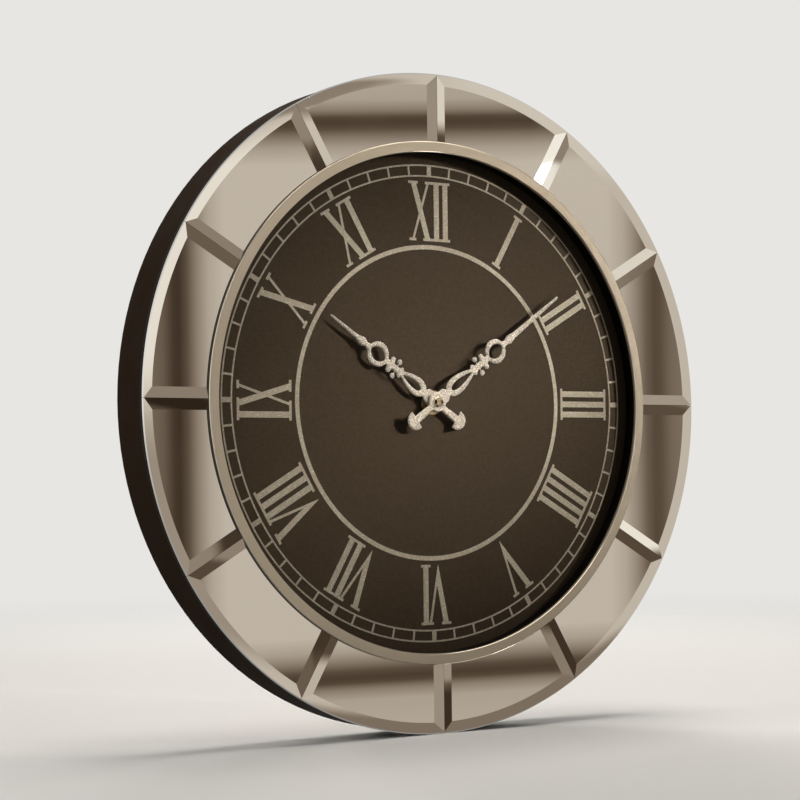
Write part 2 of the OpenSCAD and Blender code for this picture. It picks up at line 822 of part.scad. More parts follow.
// Toothed outline; a tooth points along the given direction
module teeth(n, m, add, pitch_w, tip_w, root_w, dir) {
    ded = 1.3;
    pitch_r = n * m / 2;
    tip_r = pitch_r + add * m;
    root_r = pitch_r - ded * m;
    function half_of(w, r) = w * m / 2 / r * 180 / PI;
    corner = [
        [root_r, -half_of(root_w, root_r)], [pitch_r, -half_of(pitch_w, pitch_r)],
        [tip_r, -half_of(tip_w, tip_r)], [tip_r, half_of(tip_w, tip_r)],
        [pitch_r, half_of(pitch_w, pitch_r)], [root_r, half_of(root_w, root_r)]
    ];
    polygon([for (k = [0 : n - 1], c = corner)
        let (a = dir + k * 360 / n + c[1]) c[0] * [cos(a), sin(a)]]);
}

module wheel(n, m, k, dir) translate([0, 0, level(k)]) linear_extrude(wheel_t)
    teeth(n, m, 0.9, 1.3, 0.5, 1.6, dir);

module pinion(n, m, k, dir) translate([0, 0, level(k) - pinion_over])
    linear_extrude(wheel_t + 2 * pinion_over) teeth(n, m, 0.8, 1.1, 0.5, 1, dir);

// Direction that puts a gap of an n-toothed wheel opposite a tooth that points along dir
function gap_at(dir, n) = dir + 180 + 180 / n;

// Arbor with a pivot at each end, between the two walls
module arbor() {
    disc(arbor_r, inner_rear_z + drop_fit, inner_front_z - drop_fit);
    disc(pivot_r, inner_rear_z - pivot_depth + drop_fit, inner_front_z + pivot_depth - drop_fit);
}

module at(place) translate([place[0], place[1], 0]) children();

module hour_wheel() {
    color([0.93, 0.92, 0.88]) stand() difference() {
        union() {
            wheel(hour_n, hour_m, 0, 180 / hour_n);
            disc(tube_r, level(0), hour_hand_z + hand_t);
        }
        disc(shaft_r + run_fit, 0, 2 * case_h);
    }
}

module centre_wheel() {
    color([0.86, 0.74, 0.45]) stand() difference() {
        union() {
            wheel(centre_n, centre_m, 2, 180);
            pinion(cannon_n, motion_m, 1, 0);
            disc(1.4, arbor_rear_z, level(1));
            disc(shaft_r, level(1), cap_z + cap_h - 0.2);
        }
        disc(pivot_hole_r, 0, arbor_rear_z + 1.3);
    }
}

module motion_wheel() {
    color([0.9, 0.89, 0.85]) stand() at(motion_at) {
        wheel(motion_n, motion_m, 1, gap_at(0, motion_n));
        pinion(motion_pinion_n, hour_m, 0, 180);
        arbor();
    }
}

module setting_knob() {
    flutes = 18;
    color([0.12, 0.12, 0.13]) stand() at(knob_at) {
        pinion(cannon_n, motion_m, 1, 180);
        disc(knob_arbor_r, rear_z - drop_fit, inner_front_z - drop_fit);
        disc(pivot_r, level(1), inner_front_z + pivot_depth - drop_fit);
        difference() {
            disc(knob_d / 2, rear_z - drop_fit - knob_h, rear_z - drop_fit);
            for (k = [0 : flutes - 1]) rotate([0, 0, k * 360 / flutes]) translate([knob_d / 2 + 0.2, 0, 0])
                disc(0.6, rear_z - 2 * knob_h, rear_z);
        }
    }
}

module third_wheel() {
    color([0.92, 0.9, 0.86]) stand() at(third_at) {
        wheel(third_n, third_m, 3, 0);
        pinion(third_pinion_n, centre_m, 2, gap_at(180, third_pinion_n));
        arbor();
    }
}

module seconds_wheel() {
    color([0.92, 0.9, 0.86]) stand() {
        wheel(seconds_n, seconds_m, 4, inter_dir);
        pinion(seconds_pinion_n, third_m, 3, gap_at(0, seconds_pinion_n));
        disc(arbor_r, inner_rear_z + drop_fit, seconds_end_z);
        disc(pivot_r, inner_rear_z - pivot_depth + drop_fit, arbor_rear_z + 1);
    }
}

module intermediate_wheel() {
    color([0.92, 0.9, 0.86]) stand() at(inter_at) {
        wheel(inter_n, inter_m, 5, rotor_dir);
        pinion(inter_pinion_n, seconds_m, 4, gap_at(inter_dir, inter_pinion_n));
        arbor();
    }
}

module rotor() {
    color([0.9, 0.88, 0.8]) stand() at(rotor_at) {
        pinion(rotor_pinion_n, inter_m, 5, gap_at(rotor_dir, rotor_pinion_n));
        arbor();
    }
}

magnet_z = stator_z + stator_t / 2 - magnet_h / 2;

module rotor_magnet() {
    color([0.3, 0.3, 0.32]) stand() at(rotor_at) tube(magnet_r, arbor_r, magnet_z, magnet_z + magnet_h);
}

// Electric parts

module stator() {
    leg_x = coil_len / 2 + 5;
    leg_w = 3;
    bar_top = coil_y - coil_d / 2 - 0.5;
    bar_low = 10.2;
    color([0.55, 0.55, 0.57]) stand() translate([0, 0, stator_z]) linear_extrude(stator_t) difference() {
        union() {
            translate([-leg_x, bar_low]) square([2 * leg_x, bar_top - bar_low]);
            translate(rotor_at) circle(stator_hole_r + 1.5);
            for (x = [-leg_x, leg_x - leg_w]) translate([x, bar_low])
                square([leg_w, coil_y + core_w / 2 - bar_low]);
            translate([-leg_x, coil_y - core_w / 2]) square([2 * leg_x, core_w]);
        }
        translate(rotor_at) circle(stator_hole_r);
    }
}

module coil() {
    flange_t = 0.8;
    mid_z = stator_z + stator_t / 2;
    color([0.72, 0.38, 0.16]) stand() difference() {
        translate([-coil_len / 2, coil_y, mid_z]) rotate([0, 90, 0]) {
            cylinder(d = coil_d - 1, h = coil_len);
            cylinder(d = coil_d, h = flange_t);
            translate([0, 0, coil_len - flange_t]) cylinder(d = coil_d, h = flange_t);
        }
        box([-coil_len, coil_y - core_w / 2 - run_fit, stator_z - run_fit],
            [coil_len, coil_y + core_w / 2 + run_fit, stator_z + stator_t + run_fit]);
    }
}

module circuit_board() {
    color([0.1, 0.3, 0.18]) stand()
        box([board_low[0], board_low[1], board_z], [board_high[0], board_high[1], board_z + board_t]);
}

crystal_r = 1;

module quartz_crystal() {
    color([0.78, 0.78, 0.8]) stand()
        translate([(board_low[0] + board_high[0]) / 2, board_low[1] + 8, board_z - crystal_r])
            rotate([-90, 0, 0]) cylinder(r = crystal_r, h = 6 * crystal_r);
}

button_len = 1.3;

module battery() {
    end_x = half_in - contact_t - 0.1;
    color([0.2, 0.2, 0.22]) stand() translate([end_x, battery_at[1], battery_z]) rotate([0, -90, 0]) {
        cylinder(d = 5.5, h = battery_len);
        translate([0, 0, button_len]) cylinder(d = battery_d, h = battery_len - button_len);
    }
}

contact_w = 8;
contact_low_z = rear_z + 2;

module contact_plate(x) box([x, battery_at[1] - contact_w / 2, contact_low_z],
    [x + contact_t, battery_at[1] + contact_w / 2, inner_front_z]);

module contact_plus() color([0.8, 0.8, 0.8]) stand() contact_plate(half_in - contact_t);

// Flat contact with an arched leaf that presses on the battery
module contact_minus() {
    x0 = -half_in + contact_t;
    end_x = half_in - contact_t - 0.1 - battery_len;
    bow = end_x - x0 - run_fit;
    color([0.8, 0.8, 0.8]) stand() {
        contact_plate(-half_in);
        translate([0, battery_at[1], battery_z - 3]) linear_extrude(6) polygon([
            [x0, -contact_w / 2], [x0 + bow, -1], [x0 + bow, 1], [x0, contact_w / 2],
            [x0, contact_w / 2 - 1], [x0 + bow - contact_t, 0], [x0, -contact_w / 2 + 1]
        ]);
    }
}

case_body();
back_panel();
back_screws();
hanger_plate();
hanger_rivets();
for (k = [1 : HOURS]) mirror_panel(k);
bezel_ring();
dial_wall();
dial_plate();
numerals();
minute_track();
inner_circle();
movement_case();
movement_cover();
threaded_bush();
rubber_washer();
brass_washer();
hex_nut();
hour_hand();
hour_collet();
minute_hand();
minute_collet();
hand_nut();
hour_wheel();
centre_wheel();
motion_wheel();
setting_knob();
third_wheel();
seconds_wheel();
intermediate_wheel();
rotor();
rotor_magnet();
stator();
coil();
circuit_board();
quartz_crystal();
battery();
contact_plus();
contact_minus();
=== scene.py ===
"""Looks of the mirror clock.

Glass panels, spun bezel, foil dial, pierced hands and the quartz movement behind.
"""
import json
import math

import bmesh
import bpy
from mathutils import Matrix, Vector
from mathutils.kdtree import KDTree

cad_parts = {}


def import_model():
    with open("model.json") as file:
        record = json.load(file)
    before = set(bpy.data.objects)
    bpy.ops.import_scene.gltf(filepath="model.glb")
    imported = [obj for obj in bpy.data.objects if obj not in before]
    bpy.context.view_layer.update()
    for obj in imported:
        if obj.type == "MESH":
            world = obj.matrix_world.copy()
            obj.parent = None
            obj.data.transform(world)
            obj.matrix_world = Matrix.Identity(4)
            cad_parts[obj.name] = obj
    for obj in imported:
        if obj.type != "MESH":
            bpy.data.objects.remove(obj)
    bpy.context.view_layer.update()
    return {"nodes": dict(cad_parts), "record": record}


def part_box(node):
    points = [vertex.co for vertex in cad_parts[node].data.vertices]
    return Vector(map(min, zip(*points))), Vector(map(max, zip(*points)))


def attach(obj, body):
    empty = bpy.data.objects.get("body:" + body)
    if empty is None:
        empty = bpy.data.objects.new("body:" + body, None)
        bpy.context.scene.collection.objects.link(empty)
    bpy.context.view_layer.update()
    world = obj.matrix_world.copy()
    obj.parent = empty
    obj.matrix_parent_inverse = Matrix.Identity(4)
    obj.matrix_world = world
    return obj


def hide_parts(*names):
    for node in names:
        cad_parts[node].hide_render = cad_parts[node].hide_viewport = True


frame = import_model()
nodes = frame["nodes"]

MM = 0.001
TURN = 2 * math.pi
MINUTES = 60
HOURS = 12
HOUR_STEP = TURN / HOURS

# Mesh limits, in metres: points this near are joined, edges this short are dropped and points this
# near a plane lie on it; faces that meet at less than the flat angle are merged
WELD = 1e-7
NO_LENGTH = 1e-8
ON_FACE = 1e-6
FLAT_ANGLE = math.radians(1)


# Sizes, in millimetres. Heights are measured from the wall, towards the viewer.

def heights(node):
    """Rear and front height of a CAD node."""
    low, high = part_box(node)
    return -high.y / MM, -low.y / MM


def radii(node):
    """Inner and outer radius of a CAD node that lies round the clock's axis."""
    distances = [math.hypot(v.co.x, v.co.z) / MM for v in nodes[node].data.vertices]
    return min(distances), max(distances)


PANEL_H, RIM_H = heights("mirror_panel_1")
DIAL_H, FLAT_H = heights("dial_wall")
GLASS_IN_R, RING_R = radii("mirror_panel_1")
BEZEL_IN_R, BEZEL_OUT_R = radii("bezel_ring")
BEZEL_REAR_H, BEZEL_FRONT_H = heights("bezel_ring")
WALL_IN_R, WALL_OUT_R = radii("dial_wall")
FOIL_TOP_H = heights("numerals")[1]
TRACK_IN_R, TRACK_OUT_R = radii("minute_track")
CIRCLE_IN_R, CIRCLE_OUT_R = radii("inner_circle")
FLOOR_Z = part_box("mirror_panel_6")[0].z

BORDER_W = 8.4
RIM_CHAMFER = 0.8
RIDGE_HALF_W = 8.1
RIDGE_DROP = 0.1
RIDGE_START_GAP = 0.3
PANEL_GAP = 0.2
BEZEL_FALL = 0.4
BEZEL_CHAMFER = 0.4
SKIRT_T = 1.5
SKIRT_GAP = 0.2
TRACK_LINE = 1.2
TICK_INSET = 0.9 * TRACK_LINE
MINUTE_TICK = 1.6
HOUR_TICK = 3.8
FOIL_EDGE = 0.06

# Width of the small rounding along sharp edges
BEZEL_SOFT = 0.13
WALL_SOFT = 0.2
CASE_SOFT = 0.4
NUMERAL_SOFT = 0.05
NUT_SOFT = 0.18
SOFT_EDGES = {
    "back_panel": 0.3, "hanger_plate": 0.2, "movement_case": 0.3, "movement_cover": 0.2,
    "setting_knob": 0.15, "battery": 0.4,
}

# Hands: width of the domed edge, its depth as a share of the thickness, grid of the front face and
# spacing of the points that stand for its outline
HAND_EDGE_W = 1.5
HAND_DOME = 0.8
HAND_GRID = 0.6
OUTLINE_STEP = 0.1


def at(r, angle, h):
    """Point at radius r, clockwise angle from twelve and height h."""
    return Vector((r * math.sin(angle), -h, r * math.cos(angle))) * MM


def across(centre):
    """Shift from the clock's axis to a point (x, z) of the dial's plane, in millimetres."""
    return Vector((centre[0], 0, centre[1])) * MM


def circle(segments):
    """Equal angles round a full turn."""
    return [TURN * k / segments for k in range(segments)]


def direction(azimuth, elevation):
    """Unit vector from the clock, by degrees to the right of straight ahead and degrees upwards."""
    az, el = math.radians(azimuth), math.radians(elevation)
    return Vector((math.sin(az) * math.cos(el), -math.cos(az) * math.cos(el), math.sin(el)))


def clamped(value):
    return min(1.0, max(0.0, value))


# Materials

# Values between which nearly all of a noise lies, and most of it
NOISE_SPAN = (0.3, 0.7)
NOISE_CORE = (0.35, 0.65)


class Finish:
    """A procedural material.

    A Principled shader whose constants sit on its own sockets, and the nodes that feed it.
    """

    def __init__(self, name, **constants):
        self.material = bpy.data.materials.new(name)
        self.material.use_nodes = True
        self.tree = self.material.node_tree
        self.shader = self.tree.nodes["Principled BSDF"]
        for key, value in constants.items():
            socket = key.replace("_", " ").title().replace("Ior", "IOR")
            self.shader.inputs[socket].default_value = value

    def node(self, kind, **settings):
        made = self.tree.nodes.new(kind)
        for key, value in settings.items():
            setattr(made, key, value)
        return made

    def feed(self, socket, value):
        """Links an output to a socket, or sets the socket's own value."""
        if hasattr(value, "is_output"):
            self.tree.links.new(value, socket)
        else:
            socket.default_value = value

    def place(self, scale=(1, 1, 1)):
        """The piece's own coordinates, in metres, stretched by scale."""
        mapping = self.node("ShaderNodeMapping")
        mapping.inputs["Scale"].default_value = scale
        self.feed(mapping.inputs["Vector"], self.node("ShaderNodeTexCoord").outputs["Object"])
        return mapping.outputs["Vector"]

    def noise(self, scale, detail=3.0, rough=0.55, vector=None):
        made = self.node("ShaderNodeTexNoise")
        self.feed(made.inputs["Vector"], vector or self.place())
        for socket, value in (("Scale", scale), ("Detail", detail), ("Roughness", rough)):
            made.inputs[socket].default_value = value
        return made.outputs["Fac"]

    def voronoi(self, scale):
        made = self.node("ShaderNodeTexVoronoi")
        self.feed(made.inputs["Vector"], self.place())
        made.inputs["Scale"].default_value = scale
        return made.outputs

    def cells(self, scale):
        """A random value for each small cell."""
        split = self.node("ShaderNodeSeparateColor")
        self.feed(split.inputs["Color"], self.voronoi(scale)["Color"])
        return split.outputs["Red"]

    def sums(self, operation, a, b=0.0, c=0.0):
        made = self.node("ShaderNodeMath", operation=operation)
        for socket, value in zip(made.inputs, (a, b, c)):
            self.feed(socket, value)
        return made.outputs["Value"]

    def spread(self, value, low, high, out_low=0.0, out_high=1.0, shape="LINEAR"):
        made = self.node("ShaderNodeMapRange", interpolation_type=shape)
        for socket, given in zip(made.inputs, (value, low, high, out_low, out_high)):
            self.feed(socket, given)
        return made.outputs["Result"]

    def mix(self, factor, a, b):
        """Colour between a and b; a Mix node's colour sockets are told apart by their places."""
        made = self.node("ShaderNodeMix", data_type="RGBA", blend_type="MIX")
        for index, value in ((0, factor), (6, a), (7, b)):
            self.feed(made.inputs[index], (*value, 1.0) if isinstance(value, tuple) else value)
        return made.outputs[2]

    def axis_distance(self):
        """Distance from the clock's axis, in metres."""
        made = self.node("ShaderNodeVectorMath", operation="LENGTH")
        self.feed(made.inputs[0], self.place((1, 0, 1)))
        return made.outputs["Value"]

    def colour(self, value):
        self.feed(self.shader.inputs["Base Color"], value)

    def roughness(self, value):
        self.feed(self.shader.inputs["Roughness"], value)
        return self

    def relief(self, height, depth, strength):
        """Bump of the given depth, in metres."""
        made = self.node("ShaderNodeBump")
        made.inputs["Strength"].default_value = strength
        made.inputs["Distance"].default_value = depth
        self.feed(made.inputs["Height"], height)
        self.feed(self.shader.inputs["Normal"], made.outputs["Normal"])
        return self

    def glow(self, colour):
        """Replaces the shader by plain light of the given colour."""
        emission = self.node("ShaderNodeEmission")
        self.feed(emission.inputs["Color"], colour)
        self.feed(self.tree.nodes["Material Output"].inputs["Surface"], emission.outputs[0])
        return self


def mirror_glass():
    """Silvered glass with faint smears and a few specks of dust."""
    cells_per_metre, speck_size, clean_share, speck_rough = 55.0, 0.022, 0.7, 0.5
    f = Finish("mirror_glass", metallic=1.0)
    f.colour(f.mix(f.noise(9.0, 2.0), (0.885, 0.875, 0.845), (0.905, 0.895, 0.87)))
    smear = f.noise(30.0, 4.0, vector=f.place((1, 1, 0.4)))
    dust = f.sums("MULTIPLY",
                  f.sums("LESS_THAN", f.voronoi(cells_per_metre)["Distance"], speck_size),
                  f.sums("GREATER_THAN", f.cells(cells_per_metre), clean_share))
    smooth_glass = f.spread(smear, *NOISE_CORE, 0.012, 0.03)
    return f.roughness(f.sums("MULTIPLY_ADD", dust, speck_rough, smooth_glass)).material


def champagne_metal():
    """Champagne lacquer over metal spun on a lathe: fine rings round the axis."""
    f = Finish("champagne_metal", metallic=0.7)
    rings = f.node("ShaderNodeTexNoise", noise_dimensions="1D")
    f.feed(rings.inputs["W"], f.axis_distance())
    rings.inputs["Scale"].default_value = 2600.0
    rings.inputs["Detail"].default_value = 3.0
    ring = rings.outputs["Fac"]
    wear = f.noise(35.0, 5.0)
    f.colour(f.mix(f.sums("MULTIPLY", ring, wear), (0.518, 0.445, 0.337), (0.644, 0.568, 0.444)))
    f.roughness(f.spread(wear, *NOISE_SPAN, 0.55, 0.65))
    return f.relief(ring, 0.00002, 0.5).material


def moulded(name, dark, light, rough=(0.45, 0.6), grain=1400.0, depth=0.00003, specular=0.5):
    """Moulded plastic with a fine eroded grain and a little cloudiness."""
    f = Finish(name, specular_ior_level=specular)
    fine = f.noise(grain, 2.0)
    cloud = f.noise(40.0, 3.0)
    f.colour(f.mix(cloud, dark, light))
    f.roughness(f.spread(cloud, *NOISE_SPAN, *rough))
    return f.relief(fine, depth, 0.35).material


def dial_dark():
    """Dark bronze lacquer over a fine woven grain, with a faint broad cloud."""
    fine, long = 1500, 220
    f = Finish("dial_dark", specular_ior_level=0.04)
    warp = f.noise(1.0, 2.0, vector=f.place((fine, fine, long)))
    weft = f.noise(1.0, 2.0, vector=f.place((long, fine, fine)))
    grain = f.sums("ADD", f.sums("MULTIPLY", warp, 0.5), f.sums("MULTIPLY", weft, 0.5))
    tone = f.mix(f.noise(7.0, 2.0), (0.029, 0.0199, 0.0122), (0.036, 0.0249, 0.0154))
    f.colour(f.mix(f.spread(grain, *NOISE_CORE), tone, (0.050, 0.0353, 0.0224)))
    f.roughness(f.spread(grain, *NOISE_SPAN, 0.5, 0.6))
    return f.relief(grain, 0.00008, 0.4).material


def glitter(name, dark, light, spark, metallic, rough, grain=1500.0, depth=0.00006):
    """Foil or lacquer with fine metal flakes."""
    f = Finish(name, metallic=metallic)
    flake = f.cells(grain)
    fine = f.noise(2600.0, 2.0)
    tone = f.mix(f.spread(fine, *NOISE_CORE), dark, light)
    f.colour(f.mix(f.spread(flake, 0.72, 0.98), tone, spark))
    f.roughness(f.spread(flake, 0.0, 1.0, *rough))
    return f.relief(f.sums("ADD", flake, fine), depth, 0.5).material


def turned(name, dark, light, rough=(0.18, 0.32)):
    """Turned or plated metal with light tool marks and handling marks."""
    f = Finish(name, metallic=1.0)
    marks = f.noise(900.0, 3.0, vector=f.place((1, 8, 1)))
    stain = f.noise(120.0, 4.0)
    f.colour(f.mix(stain, dark, light))
    f.roughness(f.spread(f.sums("MULTIPLY", marks, stain), 0.1, 0.45, *rough))
    return f.relief(marks, 0.00001, 0.4).material


def brushed(name, dark, light):
    """Sheet metal brushed along x."""
    f = Finish(name, metallic=1.0)
    lines = f.noise(1.0, 3.0, vector=f.place((60, 2500, 2500)))
    f.colour(f.mix(f.noise(70.0, 4.0), dark, light))
    f.roughness(f.spread(lines, *NOISE_SPAN, 0.28, 0.44))
    return f.relief(lines, 0.00002, 0.4).material


def hardboard():
    """Pressed brown board: short fibres over a mottled ground."""
    f = Finish("fibreboard", specular_ior_level=0.25)
    fibre = f.noise(1.0, 5.0, 0.7, vector=f.place((500, 500, 1500)))
    tone = f.mix(f.noise(45.0, 5.0, 0.65), (0.125, 0.078, 0.045), (0.2, 0.13, 0.08))
    f.colour(f.mix(f.spread(fibre, 0.5, 0.75), tone, (0.27, 0.19, 0.12)))
    f.roughness(f.spread(fibre, *NOISE_SPAN, 0.55, 0.75))
    return f.relief(fibre, 0.00015, 0.5).material


def winding():
    """Lacquered wire, wound round the x axis."""
    f = Finish("copper_wire", metallic=0.8)
    wave = f.node("ShaderNodeTexWave", wave_type="BANDS", bands_direction="X")
    f.feed(wave.inputs["Vector"], f.place())
    wave.inputs["Scale"].default_value = 900.0
    turns = wave.outputs["Fac"]
    f.colour(f.mix(turns, (0.22, 0.07, 0.02), (0.55, 0.22, 0.08)))
    f.roughness(f.spread(f.noise(300.0), *NOISE_SPAN, 0.25, 0.4))
    return f.relief(turns, 0.0001, 0.6).material


def cell_sleeve():
    """Sleeve of a dry cell: a dark body, a copper-coloured band near the button, bright ends."""
    band_start, middle, half_length = 0.68, 0.484, 0.474
    f = Finish("battery_sleeve")
    low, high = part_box("battery")
    split = f.node("ShaderNodeSeparateXYZ")
    f.feed(split.inputs[0], f.place())
    along = f.spread(split.outputs["X"], low.x, high.x)
    scuff = f.noise(60.0, 4.0)
    body = f.mix(scuff, (0.03, 0.032, 0.036), (0.05, 0.053, 0.058))
    band = f.sums("GREATER_THAN", along, band_start)
    off_middle = f.sums("ABSOLUTE", f.sums("SUBTRACT", along, middle))
    ends = f.sums("GREATER_THAN", off_middle, half_length)
    f.colour(f.mix(ends, f.mix(band, body, (0.50, 0.24, 0.10)), (0.62, 0.62, 0.60)))
    metal = f.sums("MAXIMUM", ends, f.sums("MULTIPLY", band, 0.8))
    f.feed(f.shader.inputs["Metallic"], metal)
    return f.roughness(f.spread(scuff, *NOISE_SPAN, 0.2, 0.3)).material


FINISHES = {
    "mirror_glass": mirror_glass(),
    "champagne_metal": champagne_metal(),
    "case_dark": moulded("case_dark", (0.019, 0.0108, 0.0052), (0.026, 0.0148, 0.0072),
                         (0.55, 0.68), specular=0.02),
    "wall_black": moulded("wall_black", (0.005, 0.004, 0.003), (0.008, 0.0065, 0.005),
                          (0.26, 0.38), specular=0.08),
    "dial_dark": dial_dark(),
    "foil_champagne": glitter("foil_champagne", (0.294, 0.252, 0.189), (0.372, 0.324, 0.248),
                              (0.535, 0.482, 0.388), 0.5, (0.34, 0.48)),
    "hand_champagne": glitter("hand_champagne", (0.53, 0.472, 0.395), (0.575, 0.517, 0.435),
                              (0.605, 0.55, 0.468), 0.6, (0.23, 0.29), 2600.0, 0.0000015),
    "brass": turned("brass", (0.58, 0.46, 0.25), (0.72, 0.60, 0.36)),
    "rubber": moulded("rubber", (0.014, 0.014, 0.014), (0.024, 0.024, 0.024),
                      (0.7, 0.85), 900.0, specular=0.3),
    "movement_black": moulded("movement_black", (0.022, 0.022, 0.024), (0.034, 0.034, 0.036),
                              specular=0.4),
    "knob_black": moulded("knob_black", (0.042, 0.042, 0.045), (0.062, 0.062, 0.065),
                          (0.4, 0.55), specular=0.4),
    "gear_white": moulded("gear_white", (0.74, 0.72, 0.66), (0.84, 0.82, 0.76),
                          (0.35, 0.5), 900.0, 0.00001),
    "magnet_grey": moulded("magnet_grey", (0.07, 0.07, 0.078), (0.11, 0.11, 0.12)),
    "stator_steel": brushed("stator_steel", (0.38, 0.38, 0.39), (0.5, 0.5, 0.51)),
    "steel": brushed("steel", (0.56, 0.56, 0.55), (0.68, 0.68, 0.66)),
    "copper_wire": winding(),
    "board_green": moulded("board_green", (0.015, 0.10, 0.04), (0.03, 0.16, 0.07),
                           (0.25, 0.4), 700.0, 0.00002),
    "battery_sleeve": cell_sleeve(),
    "fibreboard": hardboard(),
    "nut_champagne": turned("nut_champagne", (0.60, 0.53, 0.40), (0.76, 0.69, 0.55),
                            (0.16, 0.26)),
    "bright_edge": turned("bright_edge", (0.64, 0.58, 0.48), (0.76, 0.70, 0.60), (0.10, 0.18)),
    # Dark paint on the glass panels' outer edges; the same dark on the bezel's outer side and in
    # the nut's pits is painted shade
    "dark_edge_paint_and_painted_shade": moulded("dark_edge_paint_and_painted_shade", (0.014, 0.010, 0.006), (0.022, 0.016, 0.010),
                          (0.5, 0.62), specular=0.05),
}
RECORD = frame["record"]
SLOT_OF = {part["node"]: part["material_slot"] for part in RECORD["subparts"]}
BODY_OF = {n: body for body, members in RECORD["behaviour"]["bodies"].items() for n in members}


# Mesh helpers

def smooth(mesh, angle):
    """Smooth shading, with edges sharper than angle, in degrees, kept crisp."""
    mesh.shade_smooth()
    mesh.set_sharp_from_angle(angle=math.radians(angle))


def piece(name, mesh, *replaced, sharp, finish=None, trim=()):
    """A finished piece that stands for CAD nodes and rides on their body.

    It takes their finish, or the one named, and after it any trim's.
    """
    slot = SLOT_OF[replaced[0]]
    bm = bmesh.new()
    bm.from_mesh(mesh)
    bmesh.ops.remove_doubles(bm, verts=bm.verts, dist=WELD)
    bmesh.ops.dissolve_degenerate(bm, edges=bm.edges, dist=NO_LENGTH)
    bmesh.ops.recalc_face_normals(bm, faces=bm.faces)
    bm.to_mesh(mesh)
    bm.free()
    smooth(mesh, sharp)
    obj = bpy.data.objects.new(name, mesh)
    bpy.context.scene.collection.objects.link(obj)
    for key in (finish or slot, *trim):
        mesh.materials.append(FINISHES[key])
    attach(obj, BODY_OF[replaced[0]])
    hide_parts(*replaced)


class Builder:
    """Collects points and faces of one mesh.

    A face's kind is its material's place in the piece's list.
    """

    def __init__(self):
        self.points, self.faces, self.kinds = [], [], []

    def face(self, *points, kind=0):
        start = len(self.points)
        self.points += points
        self.faces.append(list(range(start, start + len(points))))
        self.kinds.append(kind)

    def strip(self, first, second, closed=False, kind=0):
        """Quads between two rows of points."""
        count = len(first)
        for i in range(count if closed else count - 1):
            j = (i + 1) % count
            self.face(first[i], first[j], second[j], second[i], kind=kind)

    def revolve(self, profile, segments=360, centre=(0.0, 0.0), kind_of=lambda a, b: 0):
        """Closed ring or solid from a closed outline of (radius, height) points, in millimetres."""
        def row(r, h):
            return [at(r, angle, h) + across(centre) for angle in circle(segments)]

        for a, b in zip(profile, profile[1:] + profile[:1]):
            if max(a[0], b[0]) > 0:
                self.strip(row(*a), row(*b), closed=True, kind=kind_of(a, b))
        return self

    def mesh(self, name):
        made = bpy.data.meshes.new(name)
        made.from_pydata(self.points, [], self.faces)
        made.polygons.foreach_set("material_index", self.kinds)
        return made


def opened(node):
    """Editable copy of a CAD node, with the cuts across its flat faces dissolved."""
    bm = bmesh.new()
    bm.from_mesh(nodes[node].data)
    bmesh.ops.remove_doubles(bm, verts=bm.verts, dist=WELD)
    bmesh.ops.dissolve_limit(bm, angle_limit=FLAT_ANGLE, verts=bm.verts, edges=bm.edges)
    return bm


def closed_mesh(bm, name):
    mesh = bpy.data.meshes.new(name)
    bm.to_mesh(mesh)
    bm.free()
    return mesh


def softened(node, name, width):
    """A copy of a CAD node whose sharp edges are rounded by a small bevel."""
    sharp = math.radians(35)
    bm = opened(node)
    edges = [e for e in bm.edges if e.is_manifold and e.calc_face_angle(0) > sharp]
    bmesh.ops.bevel(bm, geom=edges, offset=width * MM, offset_type="OFFSET", segments=2,
                    profile=0.5, affect="EDGES", clamp_overlap=True)
    piece(name, closed_mesh(bm, name), node, sharp=20)


# Mirror ring

